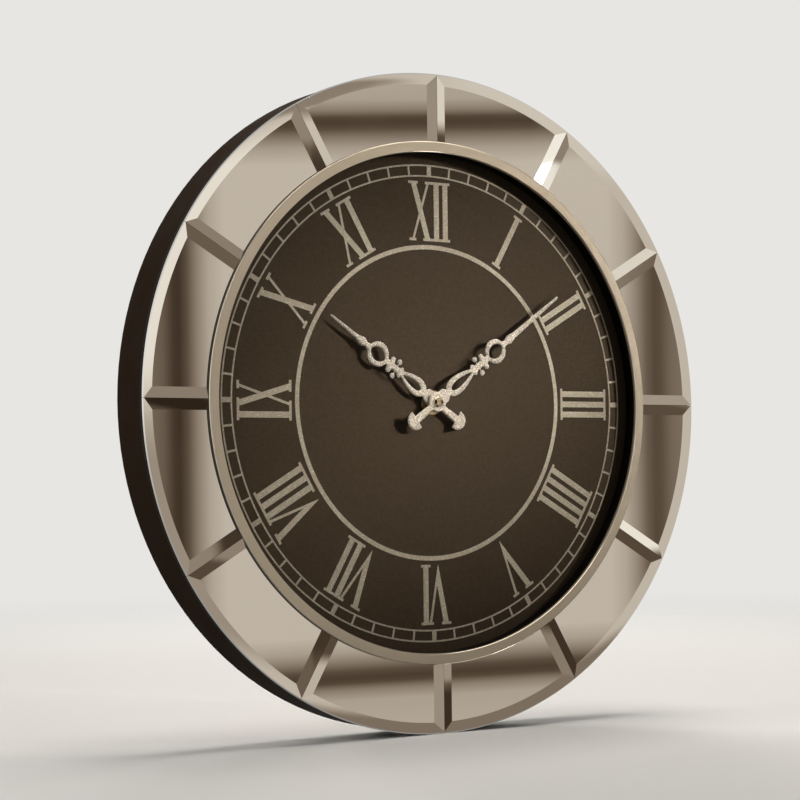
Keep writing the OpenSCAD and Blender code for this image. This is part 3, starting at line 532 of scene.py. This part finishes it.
def mirror_panel(k):
    """One glass panel: flat floor, sloping border along the rim, half a ridge along each side."""
    rise = RIM_H - FLAT_H
    ridge_rise = rise - RIDGE_DROP
    foot_r = RING_R - BORDER_W
    crest_r = RING_R - RIM_CHAMFER
    lip_h = RIM_H - RIM_CHAMFER
    slope_w = crest_r - foot_r
    start_r = BEZEL_OUT_R + RIDGE_START_GAP
    edge = PANEL_GAP / 2
    half = HOUR_STEP / 2
    middle = (k - 0.5) * HOUR_STEP
    mitre_steps, arc_steps = 8, 48

    def beside(x, along, h, side):
        """Point at distance x from a side's spoke line, at a distance along that line."""
        return at(math.hypot(along, x), middle + side * (half - math.atan2(x, along)), h)

    def off_spoke(x, r, h, side):
        """Point at distance x from a side's spoke line, at radius r."""
        return at(r, middle + side * (half - math.asin(x / r)), h)

    def ridge_h(x):
        return FLAT_H + ridge_rise * (1 - x / RIDGE_HALF_W)

    def arc(r, h, x):
        """Points at radius r between two limits, x away from each spoke line."""
        reach = half - math.asin(x / r)
        return [at(r, middle - reach + 2 * reach * i / arc_steps, h) for i in range(arc_steps + 1)]

    def over(p, r, h):
        """Point at the same angle as p."""
        return at(r, math.atan2(p.x, p.z), h)

    b = Builder()
    xs = [RIDGE_HALF_W + (edge - RIDGE_HALF_W) * i / mitre_steps for i in range(mitre_steps + 1)]
    mitre_r = [foot_r + slope_w * ridge_rise / rise * (1 - x / RIDGE_HALF_W) for x in xs]
    floor = arc(GLASS_IN_R, FLAT_H, edge)
    right = [beside(edge, start_r, FLAT_H, 1), beside(RIDGE_HALF_W, start_r, FLAT_H, 1)]
    left = [beside(RIDGE_HALF_W, start_r, FLAT_H, -1), beside(edge, start_r, FLAT_H, -1)]
    foot = arc(foot_r, FLAT_H, RIDGE_HALF_W)
    b.face(*floor, *right, *reversed(foot), *left)
    mitres = {}
    for side in (-1, 1):
        mitre = [off_spoke(x, r, ridge_h(x), side) for x, r in zip(xs, mitre_r)]
        mitres[side] = mitre
        crest_start = beside(edge, start_r, ridge_h(edge), side)
        foot_start = beside(RIDGE_HALF_W, start_r, FLAT_H, side)
        low_start = beside(edge, start_r, FLAT_H, side)
        b.face(crest_start, foot_start, *mitre)
        b.face(low_start, foot_start, crest_start)
        b.face(crest_start, mitre[-1], off_spoke(edge, crest_r, RIM_H, side),
               off_spoke(edge, RING_R, lip_h, side), off_spoke(edge, RING_R, PANEL_H, side),
               off_spoke(edge, GLASS_IN_R, PANEL_H, side),
               off_spoke(edge, GLASS_IN_R, FLAT_H, side), low_start)
    lower = list(reversed(mitres[-1]))[:-1] + foot + mitres[1][1:]
    crest = [over(p, crest_r, RIM_H) for p in lower]
    crest[0], crest[-1] = (off_spoke(edge, crest_r, RIM_H, side) for side in (-1, 1))
    lip = [over(p, RING_R, lip_h) for p in crest]
    lip[0], lip[-1] = (off_spoke(edge, RING_R, lip_h, side) for side in (-1, 1))
    base = [over(p, RING_R, PANEL_H) for p in lip]
    inner_base = arc(GLASS_IN_R, PANEL_H, edge)
    b.strip(lower, crest)
    b.strip(crest, lip)
    b.strip(lip, base, kind=1)
    b.strip(inner_base, floor)
    b.face(*inner_base, *reversed(base))
    name = f"mirror_glass_{k}"
    piece(name, b.mesh(name), f"mirror_panel_{k}", sharp=5, trim=("dark_edge_paint_and_painted_shade",))


for number in range(1, HOURS + 1):
    mirror_panel(number)


# Bezel, recess wall and case

def rounded(points, width):
    """Outline whose corners are each cut twice, so that they catch the light softly."""
    made = []
    count = len(points)
    for i, (r, h) in enumerate(points):
        (r0, h0), (r1, h1) = points[i - 1], points[(i + 1) % count]
        before, after = math.hypot(r0 - r, h0 - h), math.hypot(r1 - r, h1 - h)
        cut = min(width, before / 3, after / 3)
        a = (r + (r0 - r) * cut / before, h + (h0 - h) * cut / before)
        c = (r + (r1 - r) * cut / after, h + (h1 - h) * cut / after)
        made += [a, ((a[0] + c[0] + 2 * r) / 4, (a[1] + c[1] + 2 * h) / 4), c]
    return made


def bezel_kind(a, b):
    """Trim of the bezel: 1 is its outer side, painted dark as painted shade, 2 its polished edges.
    """
    clear_of_glass, least_slant, outer_side = 1, 0.2, BEZEL_OUT_R - 0.01
    wide, high = abs(a[0] - b[0]), abs(a[1] - b[1])
    slanted = high > least_slant * wide and wide > least_slant * high
    if min(a[1], b[1]) > FLAT_H + clear_of_glass and slanted:
        return 2
    return int(min(a[0], b[0]) > outer_side)


def bezel():
    """Spun ring with a skirt behind it that reaches down between the glass and the recess wall."""
    skirt_in_r = WALL_OUT_R + SKIRT_GAP
    skirt_out_r = skirt_in_r + SKIRT_T
    outer_h = BEZEL_FRONT_H - BEZEL_FALL
    profile = [
        (BEZEL_IN_R, FLAT_H), (skirt_in_r, FLAT_H), (skirt_in_r, BEZEL_REAR_H),
        (skirt_out_r, BEZEL_REAR_H), (skirt_out_r, FLAT_H), (BEZEL_OUT_R, FLAT_H),
        (BEZEL_OUT_R, outer_h - BEZEL_CHAMFER), (BEZEL_OUT_R - BEZEL_CHAMFER, outer_h),
        (BEZEL_IN_R + BEZEL_CHAMFER, BEZEL_FRONT_H), (BEZEL_IN_R, BEZEL_FRONT_H - BEZEL_CHAMFER),
    ]
    ring = Builder().revolve(rounded(profile, BEZEL_SOFT), kind_of=bezel_kind)
    piece("bezel_spun", ring.mesh("bezel_spun"), "bezel_ring", sharp=8,
          trim=("dark_edge_paint_and_painted_shade", "bright_edge"))


def recess_wall():
    profile = [(WALL_IN_R, DIAL_H), (WALL_OUT_R, DIAL_H), (WALL_OUT_R, FLAT_H), (WALL_IN_R, FLAT_H)]
    ring = Builder().revolve(rounded(profile, WALL_SOFT))
    piece("recess_wall", ring.mesh("recess_wall"), "dial_wall", sharp=40)


bezel()
recess_wall()
softened("case_body", "case_shell", CASE_SOFT)


# Dial

def foil_ring(b, inner, outer):
    """Thin applied ring with softened upper edges."""
    side_h = FOIL_TOP_H - FOIL_EDGE
    b.revolve([(inner, DIAL_H), (outer, DIAL_H), (outer, side_h), (outer - FOIL_EDGE, FOIL_TOP_H),
               (inner + FOIL_EDGE, FOIL_TOP_H), (inner, side_h)])


def tick(b, angle, width):
    """One bar across the minute track."""
    inner, outer = TRACK_IN_R + TICK_INSET, TRACK_OUT_R - TICK_INSET

    def corners(half, h):
        places = ((-half, inner), (half, inner), (half, outer), (-half, outer))
        return [at(math.hypot(r, x), angle + math.atan2(x, r), h) for x, r in places]

    base = corners(width / 2, DIAL_H)
    side = corners(width / 2, FOIL_TOP_H - FOIL_EDGE)
    top = corners(width / 2 - FOIL_EDGE, FOIL_TOP_H)
    b.strip(base, side, closed=True)
    b.strip(side, top, closed=True)
    b.face(*top)
    b.face(*base)


def minute_track():
    b = Builder()
    foil_ring(b, TRACK_OUT_R - TRACK_LINE, TRACK_OUT_R)
    foil_ring(b, TRACK_IN_R, TRACK_IN_R + TRACK_LINE)
    for minute in range(MINUTES):
        on_hour = minute % (MINUTES // HOURS) == 0
        tick(b, TURN * minute / MINUTES, HOUR_TICK if on_hour else MINUTE_TICK)
    piece("track_foil", b.mesh("track_foil"), "minute_track", sharp=40)


def inner_circle():
    b = Builder()
    foil_ring(b, CIRCLE_IN_R, CIRCLE_OUT_R)
    piece("circle_foil", b.mesh("circle_foil"), "inner_circle", sharp=40)


minute_track()
inner_circle()
softened("numerals", "numeral_foil", NUMERAL_SOFT)


# Hands and hub

def pressed(node, name):
    """A flat CAD piece whose front is domed down to its outline, as a pressed hand's is."""
    bm = opened(node)
    rear, front = heights(node)

    def front_faces():
        return [f for f in bm.faces if all(abs(v.co.y + front * MM) < ON_FACE for v in f.verts)]

    faces = set(front_faces())
    samples = []
    for edge in bm.edges:
        if sum(f in faces for f in edge.link_faces) == 1:
            a, b = (v.co.copy() for v in edge.verts)
            count = max(1, math.ceil((b - a).length / (OUTLINE_STEP * MM)))
            samples += [a.lerp(b, i / count) for i in range(count)]
    outline = KDTree(len(samples))
    for i, point in enumerate(samples):
        outline.insert(point, i)
    outline.balance()

    low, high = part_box(node)
    step = HAND_GRID * MM
    for axis in (0, 2):
        normal = Vector((axis == 0, 0, axis == 2))
        for i in range(1, math.ceil((high[axis] - low[axis]) / step)):
            shown = front_faces()
            edges = {e for f in shown for e in f.edges}
            corners = {v for f in shown for v in f.verts}
            bmesh.ops.bisect_plane(bm, geom=[*shown, *edges, *corners], dist=WELD,
                                   plane_co=low + normal * i * step, plane_no=normal)
    depth = HAND_DOME * (front - rear)
    for v in {v for f in front_faces() for v in f.verts}:
        inwards = min(1.0, outline.find(v.co)[2] / (HAND_EDGE_W * MM))
        v.co.y += depth * (1 - math.sqrt(1 - (1 - inwards) ** 2)) * MM
    piece(name, closed_mesh(bm, name), node, sharp=50)


def polar_cap(b, centre, inner, outer, height, rings, segments, kind_of=lambda r, angle: 0):
    """Surface over a ring, from a height given for each distance and angle.

    Returns its inner and outer rows of points.
    """
    steps = [inner + (outer - inner) * i / rings for i in range(rings + 1)]
    turn = circle(segments)
    rows = [[at(r, angle, height(r, angle)) + across(centre) for angle in turn] for r in steps]
    for r, row, following in zip(steps, rows, rows[1:]):
        for k, angle in enumerate(turn):
            j = (k + 1) % segments
            b.face(row[k], row[j], following[j], following[k], kind=kind_of(r, angle))
    return rows[0], rows[-1]


def hand_nut():
    """Round brass nut with a milled edge and two spanner pits beside the arbor."""
    rear, front = heights("hand_nut")
    bore, outer = radii("hand_nut")
    pit_x, pit_w, pit_l, pit_deep = 0.66 * outer, 1.0, 1.7, 1.5
    pit_steepness, pit_floor, painted_shade_from = 2.5, 0.3, 0.08
    shoulder, edge, dome_power = 0.55 * (front - rear), 0.25, 2.2
    mill_depth, mill_pitch = 0.35 * edge, 4
    rings, segments = 32, 144

    def pit(r, angle):
        x, z = r * math.sin(angle), r * math.cos(angle)
        return max(0.0, 1 - ((abs(x) - pit_x) / pit_w) ** 2 - (z / pit_l) ** 2)

    def top(r, angle):
        outwards = max(0.0, (r - bore) / (outer - edge - bore))
        dome = front - (front - rear - shoulder) * outwards ** dome_power
        return max(rear + pit_floor, dome - pit_deep * min(1.0, pit_steepness * pit(r, angle)))

    def milled_row(h):
        cuts = [mill_depth if k % mill_pitch < mill_pitch / 2 else 0.0 for k in range(segments)]
        return [at(outer - cut, angle, h) for cut, angle in zip(cuts, circle(segments))]

    b = Builder()
    # Faces inside the two pits take the dark finish: painted shade in the recesses
    inside, outside = polar_cap(b, (0, 0), bore, outer - edge, top, rings, segments,
                                kind_of=lambda r, angle: int(pit(r, angle) > painted_shade_from))
    rows = [
        outside, milled_row(rear + shoulder - edge), milled_row(rear + edge),
        [at(outer - edge, angle, rear) for angle in circle(segments)],
        [at(bore, angle, rear) for angle in circle(segments)], inside,
    ]
    for row, following in zip(rows, rows[1:]):
        b.strip(row, following, closed=True)
    piece("hand_nut_milled", b.mesh("hand_nut_milled"), "hand_nut", sharp=35,
          finish="nut_champagne", trim=("dark_edge_paint_and_painted_shade",))


def bush_thread():
    """Threaded bush of the movement: a flange and fine rolled turns above it."""
    flange_w, flange_sunk = 1.6, 2.0
    pitch, depth, run_in, run_out = 0.75, 0.3, 0.2, 0.3
    crest_from, crest_to = 0.4 * pitch, 0.55 * pitch
    rear, front = heights("threaded_bush")
    bore, flange_r = radii("threaded_bush")
    outer = flange_r - flange_w
    root = outer - depth
    flange_top = heights("movement_case")[1] - flange_sunk
    profile = [(bore, rear), (flange_r, rear), (flange_r, flange_top), (root, flange_top)]
    h = flange_top + run_in
    while h + pitch < front - run_out:
        profile += [(root, h), (outer, h + crest_from), (outer, h + crest_to)]
        h += pitch
    profile += [(root, h), (root, front), (bore, front)]
    bush = Builder().revolve(profile, segments=96)
    piece("bush_threaded", bush.mesh("bush_threaded"), "threaded_bush", sharp=25)


pressed("hour_hand", "hour_blade")
pressed("minute_hand", "minute_blade")
for node in ("hex_nut", "brass_washer"):
    softened(node, node + "_turned", NUT_SOFT)
hand_nut()
bush_thread()


# Back and movement

def clusters(node, count):
    """Middles of the equal solids in one node, found by grouping its points."""
    apart = 12
    groups = []
    for v in nodes[node].data.vertices:
        point = (v.co.x / MM, v.co.z / MM)
        near = [g for g in groups if math.dist(point, g[0]) < apart]
        if near:
            near[0].append(point)
        else:
            groups.append([point])
    assert len(groups) == count, (node, len(groups))
    return [tuple((min(c) + max(c)) / 2 for c in zip(*g)) for g in groups]


def back_screws():
    """Pan-head screws with a cross recess, seen from the rear."""
    rear, front = heights("back_screws")
    head_top = heights("back_panel")[0]
    head_r, shank_r, point_r, point_l, core_r = 3.0, 1.5, 0.3, 1, 0.02
    dome_share, dome_power = 0.75, 3
    arm, arm_slope, slot, slot_slope, cross_deep = 1.7, 0.3, 0.42, 0.12, 1.1
    rings, segments = 30, 96
    b = Builder()

    def head(r, angle):
        x, z = abs(r * math.sin(angle)), abs(r * math.cos(angle))
        dome = rear + (head_top - rear) * dome_share * (r / head_r) ** dome_power
        cross = clamped((slot - min(x, z)) / slot_slope) * clamped((arm - max(x, z)) / arm_slope)
        return dome + cross_deep * cross

    outline = ((head_r, head_top), (shank_r, head_top), (shank_r, front - point_l),
               (point_r, front))
    for centre in clusters("back_screws", 6):
        inner, outer = polar_cap(b, centre, core_r, head_r, head, rings, segments)
        b.face(*reversed(inner))
        rows = [outer]
        rows += [[at(r, a, h) + across(centre) for a in circle(segments)] for r, h in outline]
        for row, following in zip(rows, rows[1:]):
            b.strip(row, following, closed=True)
        b.face(*rows[-1])
    piece("back_screws_cross", b.mesh("back_screws_cross"), "back_screws", sharp=35)


def hanger_rivets():
    """Tubular rivets with domed heads on both sides."""
    rear, front = heights("hanger_rivets")
    shank_r, head_r, head_h = 1.5, 3.0, 0.8
    bends = (0.0, 0.4, 0.8, 1.2, math.pi / 2)
    dome = [(head_r * math.sin(a), head_h * (1 - math.cos(a))) for a in bends]
    profile = [(r, rear + h) for r, h in dome]
    profile += [(shank_r, rear + head_h), (shank_r, front - head_h)]
    profile += [(r, front - h) for r, h in reversed(dome)]
    b = Builder()
    for centre in clusters("hanger_rivets", 2):
        b.revolve(profile, segments=64, centre=centre)
    piece("hanger_rivets_domed", b.mesh("hanger_rivets_domed"), "hanger_rivets", sharp=35)


back_screws()
hanger_rivets()
for node, width in SOFT_EDGES.items():
    softened(node, node + "_finished", width)

for name, obj in nodes.items():
    if obj.material_slots:
        obj.material_slots[0].material = FINISHES[SLOT_OF[name]]
    else:
        obj.data.materials.append(FINISHES[SLOT_OF[name]])


# Camera, solved from the chapter ring and the outline of the mirror ring

AZIMUTH, ELEVATION = -33.13, -2.29
ROLL = math.radians(-0.645)
CAMERA_DISTANCE = 1586.3
AIM = Vector((-28.7, -29.5, 1.5)) * MM
FOCAL_PX, IMAGE_PX, SENSOR = 2100.0, 800.0, 36.0

back = direction(AZIMUTH, ELEVATION)
level_right = Vector((0, 0, 1)).cross(back).normalized()
level_up = back.cross(level_right)
camera_right = math.cos(ROLL) * level_right + math.sin(ROLL) * level_up
camera_up = -math.sin(ROLL) * level_right + math.cos(ROLL) * level_up


def axes(x, y, z, origin):
    """Placing whose own axes are x, y and z."""
    made = Matrix((x, y, z)).transposed().to_4x4()
    made.translation = origin
    return made


camera = bpy.data.objects.new("camera", bpy.data.cameras.new("camera"))
camera.data.sensor_width = SENSOR
camera.data.lens = FOCAL_PX / IMAGE_PX * SENSOR
camera.matrix_world = axes(camera_right, camera_up, back, AIM + back * CAMERA_DISTANCE * MM)
bpy.context.scene.collection.objects.link(camera)
bpy.context.scene.camera = camera


# Studio, in metres

PALE = (0.80, 0.79, 0.77)
PALE_CLOUD = (0.81, 0.80, 0.78)
LAMP_TONE = (1.0, 0.97, 0.93)
FILL_TONE = (1.0, 0.98, 0.95)
FILL = 0.18
FLOOR_SIZE = 8
# Light that the floor returns to the clock, and the distances over which the floor fades out
FLOOR_BOUNCE = (0.15, 0.145, 0.138)
FLOOR_FADE = (0.45, 2.2)
# Share of the pale backdrop that reflections see, by height of direction, from nadir to zenith
BACKDROP_SHARE = ((-1.0, 0.36), (-0.5, 0.44), (-0.2, 0.72), (0.0, 1.0), (0.3, 1.0), (0.7, 0.7),
                  (1.0, 0.55))


def set_ramp(ramp, stops):
    """Grey tones of a colour ramp that runs from the first to the last (place, tone) stop."""
    low, high = stops[0][0], stops[-1][0]
    elements = ramp.color_ramp.elements
    while len(elements) < len(stops):
        elements.new(0.5)
    for element, (place, tone) in zip(elements, stops):
        element.position = (place - low) / (high - low)
        element.color = (tone, tone, tone, 1.0)


def stage_plane(name, u, v, placing, material):
    """Rectangle of the studio, between low and high limits across and up."""
    b = Builder()
    corners = ((u[0], v[0]), (u[1], v[0]), (u[1], v[1]), (u[0], v[1]))
    b.face(*(Vector((x, y, 0)) for x, y in corners))
    obj = bpy.data.objects.new(name, b.mesh(name))
    obj.data.materials.append(material)
    obj.matrix_world = placing
    bpy.context.scene.collection.objects.link(obj)
    return obj


def floor_material():
    """Pale floor that fades into the backdrop, and returns little light to the clock."""
    f = Finish("studio_floor", specular_ior_level=0.1)
    seen = f.node("ShaderNodeLightPath").outputs["Is Camera Ray"]
    f.colour(f.mix(seen, FLOOR_BOUNCE, f.mix(f.noise(3.0), PALE, PALE_CLOUD)))
    f.roughness(f.spread(f.noise(40.0), *NOISE_SPAN, 0.8, 0.9))
    away = f.node("ShaderNodeVectorMath", operation="LENGTH")
    f.feed(away.inputs[0], f.place())
    alpha = f.spread(away.outputs["Value"], *FLOOR_FADE, 1.0, 0.0, "SMOOTHERSTEP")
    f.feed(f.shader.inputs["Alpha"], alpha)
    return f.material


floor_limits = (-FLOOR_SIZE / 2, FLOOR_SIZE / 2)
floor = stage_plane("floor", floor_limits, floor_limits, Matrix.Translation((0, 0, FLOOR_Z)),
                    floor_material())
floor.visible_glossy = False


def world():
    """Pale backdrop for the camera, a graded one for reflections, a weaker fill for the rest."""
    made = bpy.data.worlds.new("studio")
    bpy.context.scene.world = made
    made.use_nodes = True
    tree = made.node_tree
    tree.nodes.clear()

    def node(kind, *sources):
        """New node whose first inputs are linked to the given outputs."""
        new = tree.nodes.new("ShaderNode" + kind)
        for socket, source in zip(new.inputs, sources):
            tree.links.new(source, socket)
        return new

    def larger(a, b):
        new = node("Math", a, b)
        new.operation = "MAXIMUM"
        return new.outputs[0]

    def background(colour, strength):
        new = node("Background")
        new.inputs["Color"].default_value = (*colour, 1.0)
        new.inputs["Strength"].default_value = strength
        return new

    path = node("LightPath").outputs
    by_eye_or_mirror = larger(path["Is Camera Ray"], path["Is Glossy Ray"])
    seen = larger(by_eye_or_mirror, path["Is Transmission Ray"])
    split = node("SeparateXYZ", node("TexCoord").outputs["Generated"])
    height = node("MapRange", split.outputs["Z"])
    height.inputs["From Min"].default_value = BACKDROP_SHARE[0][0]
    ramp = node("ValToRGB", height.outputs["Result"])
    set_ramp(ramp, BACKDROP_SHARE)
    backdrop = background(PALE, 1.0)
    share = larger(ramp.outputs["Color"], path["Is Camera Ray"])
    tree.links.new(share, backdrop.inputs["Strength"])
    fill = background(FILL_TONE, FILL)
    mix = node("MixShader", seen, fill.outputs[0], backdrop.outputs[0])
    node("OutputWorld", mix.outputs[0])


world()


def facing(away, origin):
    """Placing of a lamp or card that looks back along away."""
    return Matrix.Translation(origin) @ away.to_track_quat("Z", "Y").to_matrix().to_4x4()


def lamp(name, azimuth, elevation, distance, size, power, glossy=False, spread=180.0,
         aim=(0, 0, 0)):
    """Soft square lamp aimed at a point of the clock; spread, in degrees, narrows its beam."""
    away = direction(azimuth, elevation)
    data = bpy.data.lights.new(name, "AREA")
    data.size = size
    data.energy = power
    data.color = LAMP_TONE
    data.spread = math.radians(spread)
    obj = bpy.data.objects.new(name, data)
    obj.matrix_world = facing(away, Vector(aim) + away * distance)
    obj.visible_glossy = glossy
    bpy.context.scene.collection.objects.link(obj)


lamp("key", azimuth=42, elevation=15, distance=1.7, size=0.28, power=0.46, spread=10.8,
     aim=(0, 0, 0.018))
lamp("sheen", azimuth=42, elevation=15, distance=1.7, size=0.2, power=1.2, glossy=True)
lamp("overhead", azimuth=100, elevation=78, distance=2.2, size=1.2, power=35.0)
lamp("rear", azimuth=150, elevation=30, distance=1.9, size=0.8, power=12.0)
lamp("back", azimuth=186, elevation=14, distance=1.7, size=0.5, power=0.4, spread=24.0)
lamp("left", azimuth=-98, elevation=2, distance=1.7, size=0.5, power=0.3, spread=26.0)


# What the mirrors see

# A framed light panel stands where the camera's own reflection points, with lamps and flags round
# it. Places on these cards are in millimetres, across and up.
LIGHT_TONE = (0.575, 0.51, 0.43)
# Darker reflections are browner: each channel's tone is raised to its own power
WARMTH = (1.0, 1.12, 1.24)
PANEL_LEFT, PANEL_RIGHT, PANEL_LOW, PANEL_TOP = -341.0, 283.0, -358.0, 366.0
RIGHT_BAR_LIFT = 0.09
LOW_BAR_TILT = 0.05
# Tone across a frame bar, by distance outwards from its middle
SIDE_BAR = ((-60, 1.0), (-40, 0.82), (-24, 0.5), (-11, 0.2), (0, 0.09), (8, 0.11), (22, 0.26),
            (60, 0.42))
END_BAR = ((-55, 1.0), (-34, 0.74), (-20, 0.44), (-9, 0.19), (0, 0.13), (7, 0.17), (16, 0.48),
           (30, 0.78), (60, 0.84))
# Soft edge of a lamp or flag, as shares of its half size
SOFT_FROM, SOFT_TO = 0.7, 1.3
# Lamps and flags on a card: middle across and up, half sizes, tone
NEAR_CARD = {
    "outer_top": (0, 640, 1000, 140, 0.45),
    "outer_low": (0, -640, 1000, 150, 0.17),
    "outer_left": (-700, 0, 200, 480, 0.26),
    "outer_right": (700, 0, 170, 480, 0.2),
    "right_lamp": (552, 122, 54, 30, 1.6),
    "right_patch": (606, 174, 40, 22, 0.5),
    "right_flag": (615, -150, 40, 50, 0.09),
    "upper_right_lamp": (547, 425, 40, 46, 1.3),
    "upper_corner": (345, 360, 60, 24, 0.68),
    "upper_left_lamp": (-540, 398, 50, 52, 0.6),
    "left_flag": (-652, 0, 18, 75, 0.1),
    "left_lamp": (-692, 114, 26, 32, 0.52),
    "left_upper_flag": (-520, 294, 30, 26, 0.1),
    "left_upper_lamp": (-592, 268, 36, 26, 0.5),
    "lower_left_lamp": (-553, -404, 50, 55, 0.6),
    "low_left_lamp": (-265, -578, 50, 32, 0.46),
    "low_left_flag": (-300, -524, 56, 14, 0.05),
    "low_lamp": (290, -665, 50, 34, 4.0),
    "low_lamp_edge": (362, -606, 34, 38, 0.95),
    "low_spot": (68, -608, 32, 24, 0.5),
    "low_corner": (335, -386, 40, 16, 0.19),
    "foot_lamp": (561, -362, 40, 20, 0.62),
    "foot_flag": (563, -422, 34, 30, 0.08),
}
# Close to the clock, where only the rim's inward slope looks
RIM_CARD = {
    "left_lamp": (-4, 52, 22, 42, 1.5),
    "left_flag": (2, -42, 24, 40, 0.6),
    "low_flag": (8, -128, 40, 20, 0.38),
    "upper_flag": (-24, 113, 9, 9, 0.48),
    "top_lamp": (10, 118, 22, 22, 1.16),
}
FAR_CARD = {
    "glow": (-650, 1020, 80, 80, 1.7),
    "spark": (-676, 962, 40, 38, 8.0),
    "top_lamp": (8, 1075, 80, 36, 1.35),
    "corner_lamp": (915, 1010, 70, 60, 1.1),
    "edge_lamp": (-190, 1490, 150, 60, 6.0),
}


def card_material(name, places, base, framed):
    """A base tone, an optional dark frame, and soft-edged lamps and flags."""
    f = Finish(name)
    split = f.node("ShaderNodeSeparateXYZ")
    f.feed(split.inputs[0], f.place((1 / MM, 1 / MM, 1)))
    u, v = split.outputs["X"], split.outputs["Y"]

    def bar(outwards, stops):
        ramp = f.node("ShaderNodeValToRGB")
        f.feed(ramp.inputs["Fac"], f.spread(outwards, stops[0][0], stops[-1][0]))
        set_ramp(ramp, stops)
        return ramp.outputs["Color"]

    def near(value, middle, half):
        off = f.sums("ABSOLUTE", f.sums("SUBTRACT", value, middle))
        return f.spread(off, half * SOFT_FROM, half * SOFT_TO, 1.0, 0.0, "SMOOTHSTEP")

    tone = base
    if framed:
        left = bar(f.sums("SUBTRACT", PANEL_LEFT, u), SIDE_BAR)
        right = bar(f.sums("SUBTRACT", u, PANEL_RIGHT), SIDE_BAR)
        sides = f.sums("MULTIPLY", left, f.spread(right, 0.0, 1.0, RIGHT_BAR_LIFT, 1.0))
        top = bar(f.sums("SUBTRACT", v, PANEL_TOP), END_BAR)
        low_edge = f.sums("MULTIPLY_ADD", u, LOW_BAR_TILT, PANEL_LOW)
        ends = f.sums("MULTIPLY", top, bar(f.sums("SUBTRACT", low_edge, v), END_BAR))
        tone = f.sums("MULTIPLY", f.sums("MULTIPLY", sides, ends), base)
    for middle_u, middle_v, half_u, half_v, level in places.values():
        mask = f.sums("MULTIPLY", near(u, middle_u, half_u), near(v, middle_v, half_v))
        kept = f.sums("MULTIPLY", tone, f.sums("SUBTRACT", 1.0, mask))
        tone = f.sums("ADD", kept, f.sums("MULTIPLY", mask, level))
    colour = f.node("ShaderNodeCombineColor")
    for socket, level, power in zip(colour.inputs, LIGHT_TONE, WARMTH):
        f.feed(socket, f.sums("MULTIPLY", f.sums("POWER", tone, power), level))
    return f.glow(colour.outputs["Color"]).material


toward = Vector((-back.x, back.y, -back.z))
card_right = Vector((0, 0, 1)).cross(toward).normalized()
card_up = toward.cross(card_right)


def hide_but_glossy(obj):
    """Leaves an object to reflections alone."""
    for ray in ("camera", "diffuse", "shadow", "transmission", "volume_scatter"):
        setattr(obj, "visible_" + ray, False)


def card(name, distance, u, v, places, base, framed=False):
    """Card square to the reflected view, from low to high limits across and up, in millimetres."""
    placing = axes(card_right, card_up, toward, toward * distance * MM)
    u, v = ([limit * MM for limit in limits] for limits in (u, v))
    hide_but_glossy(stage_plane(name, u, v, placing, card_material(name, places, base, framed)))


def plain_card(name, azimuth, elevation, width, height, colour, distance=1.0):
    """Card from which metal, the hands' rounded edges and the nut take light and shade."""
    cloud_share = 0.9
    away = direction(azimuth, elevation)
    f = Finish(name)
    f.glow(f.mix(f.noise(4.0), colour, tuple(cloud_share * c for c in colour)))
    hide_but_glossy(stage_plane(name, (-width / 2, width / 2), (-height / 2, height / 2),
                                facing(away, away * distance), f.material))


plain_card("low_flag", azimuth=33, elevation=-50, width=1.4, height=0.6, colour=(0.08, 0.06, 0.042))
plain_card("sheen_card", azimuth=42, elevation=15, width=0.2, height=0.2,
           colour=(21.0, 20.4, 19.5), distance=1.71)
plain_card("top_light", azimuth=20, elevation=64, width=1.2, height=0.42, colour=(3.2, 3.0, 2.7))
plain_card("low_edge_spark", azimuth=70.5, elevation=-44.5, width=0.2, height=0.1,
           colour=(7.0, 6.7, 6.2))
plain_card("low_edge_light", azimuth=74, elevation=-54, width=0.2, height=0.22,
           colour=(1.3, 1.24, 1.14))
card("rim_card", distance=500, u=(-60, 110), v=(-160, 160), places=RIM_CARD, base=1.0)
card("light_panel_card", distance=1200, u=(-760, 700), v=(-720, 470), places=NEAR_CARD, base=1.0,
     framed=True)
card("upper_card", distance=2600, u=(-1500, 1500), v=(660, 1750), places=FAR_CARD, base=0.48)

bpy.context.scene.view_settings.view_transform = "Standard"
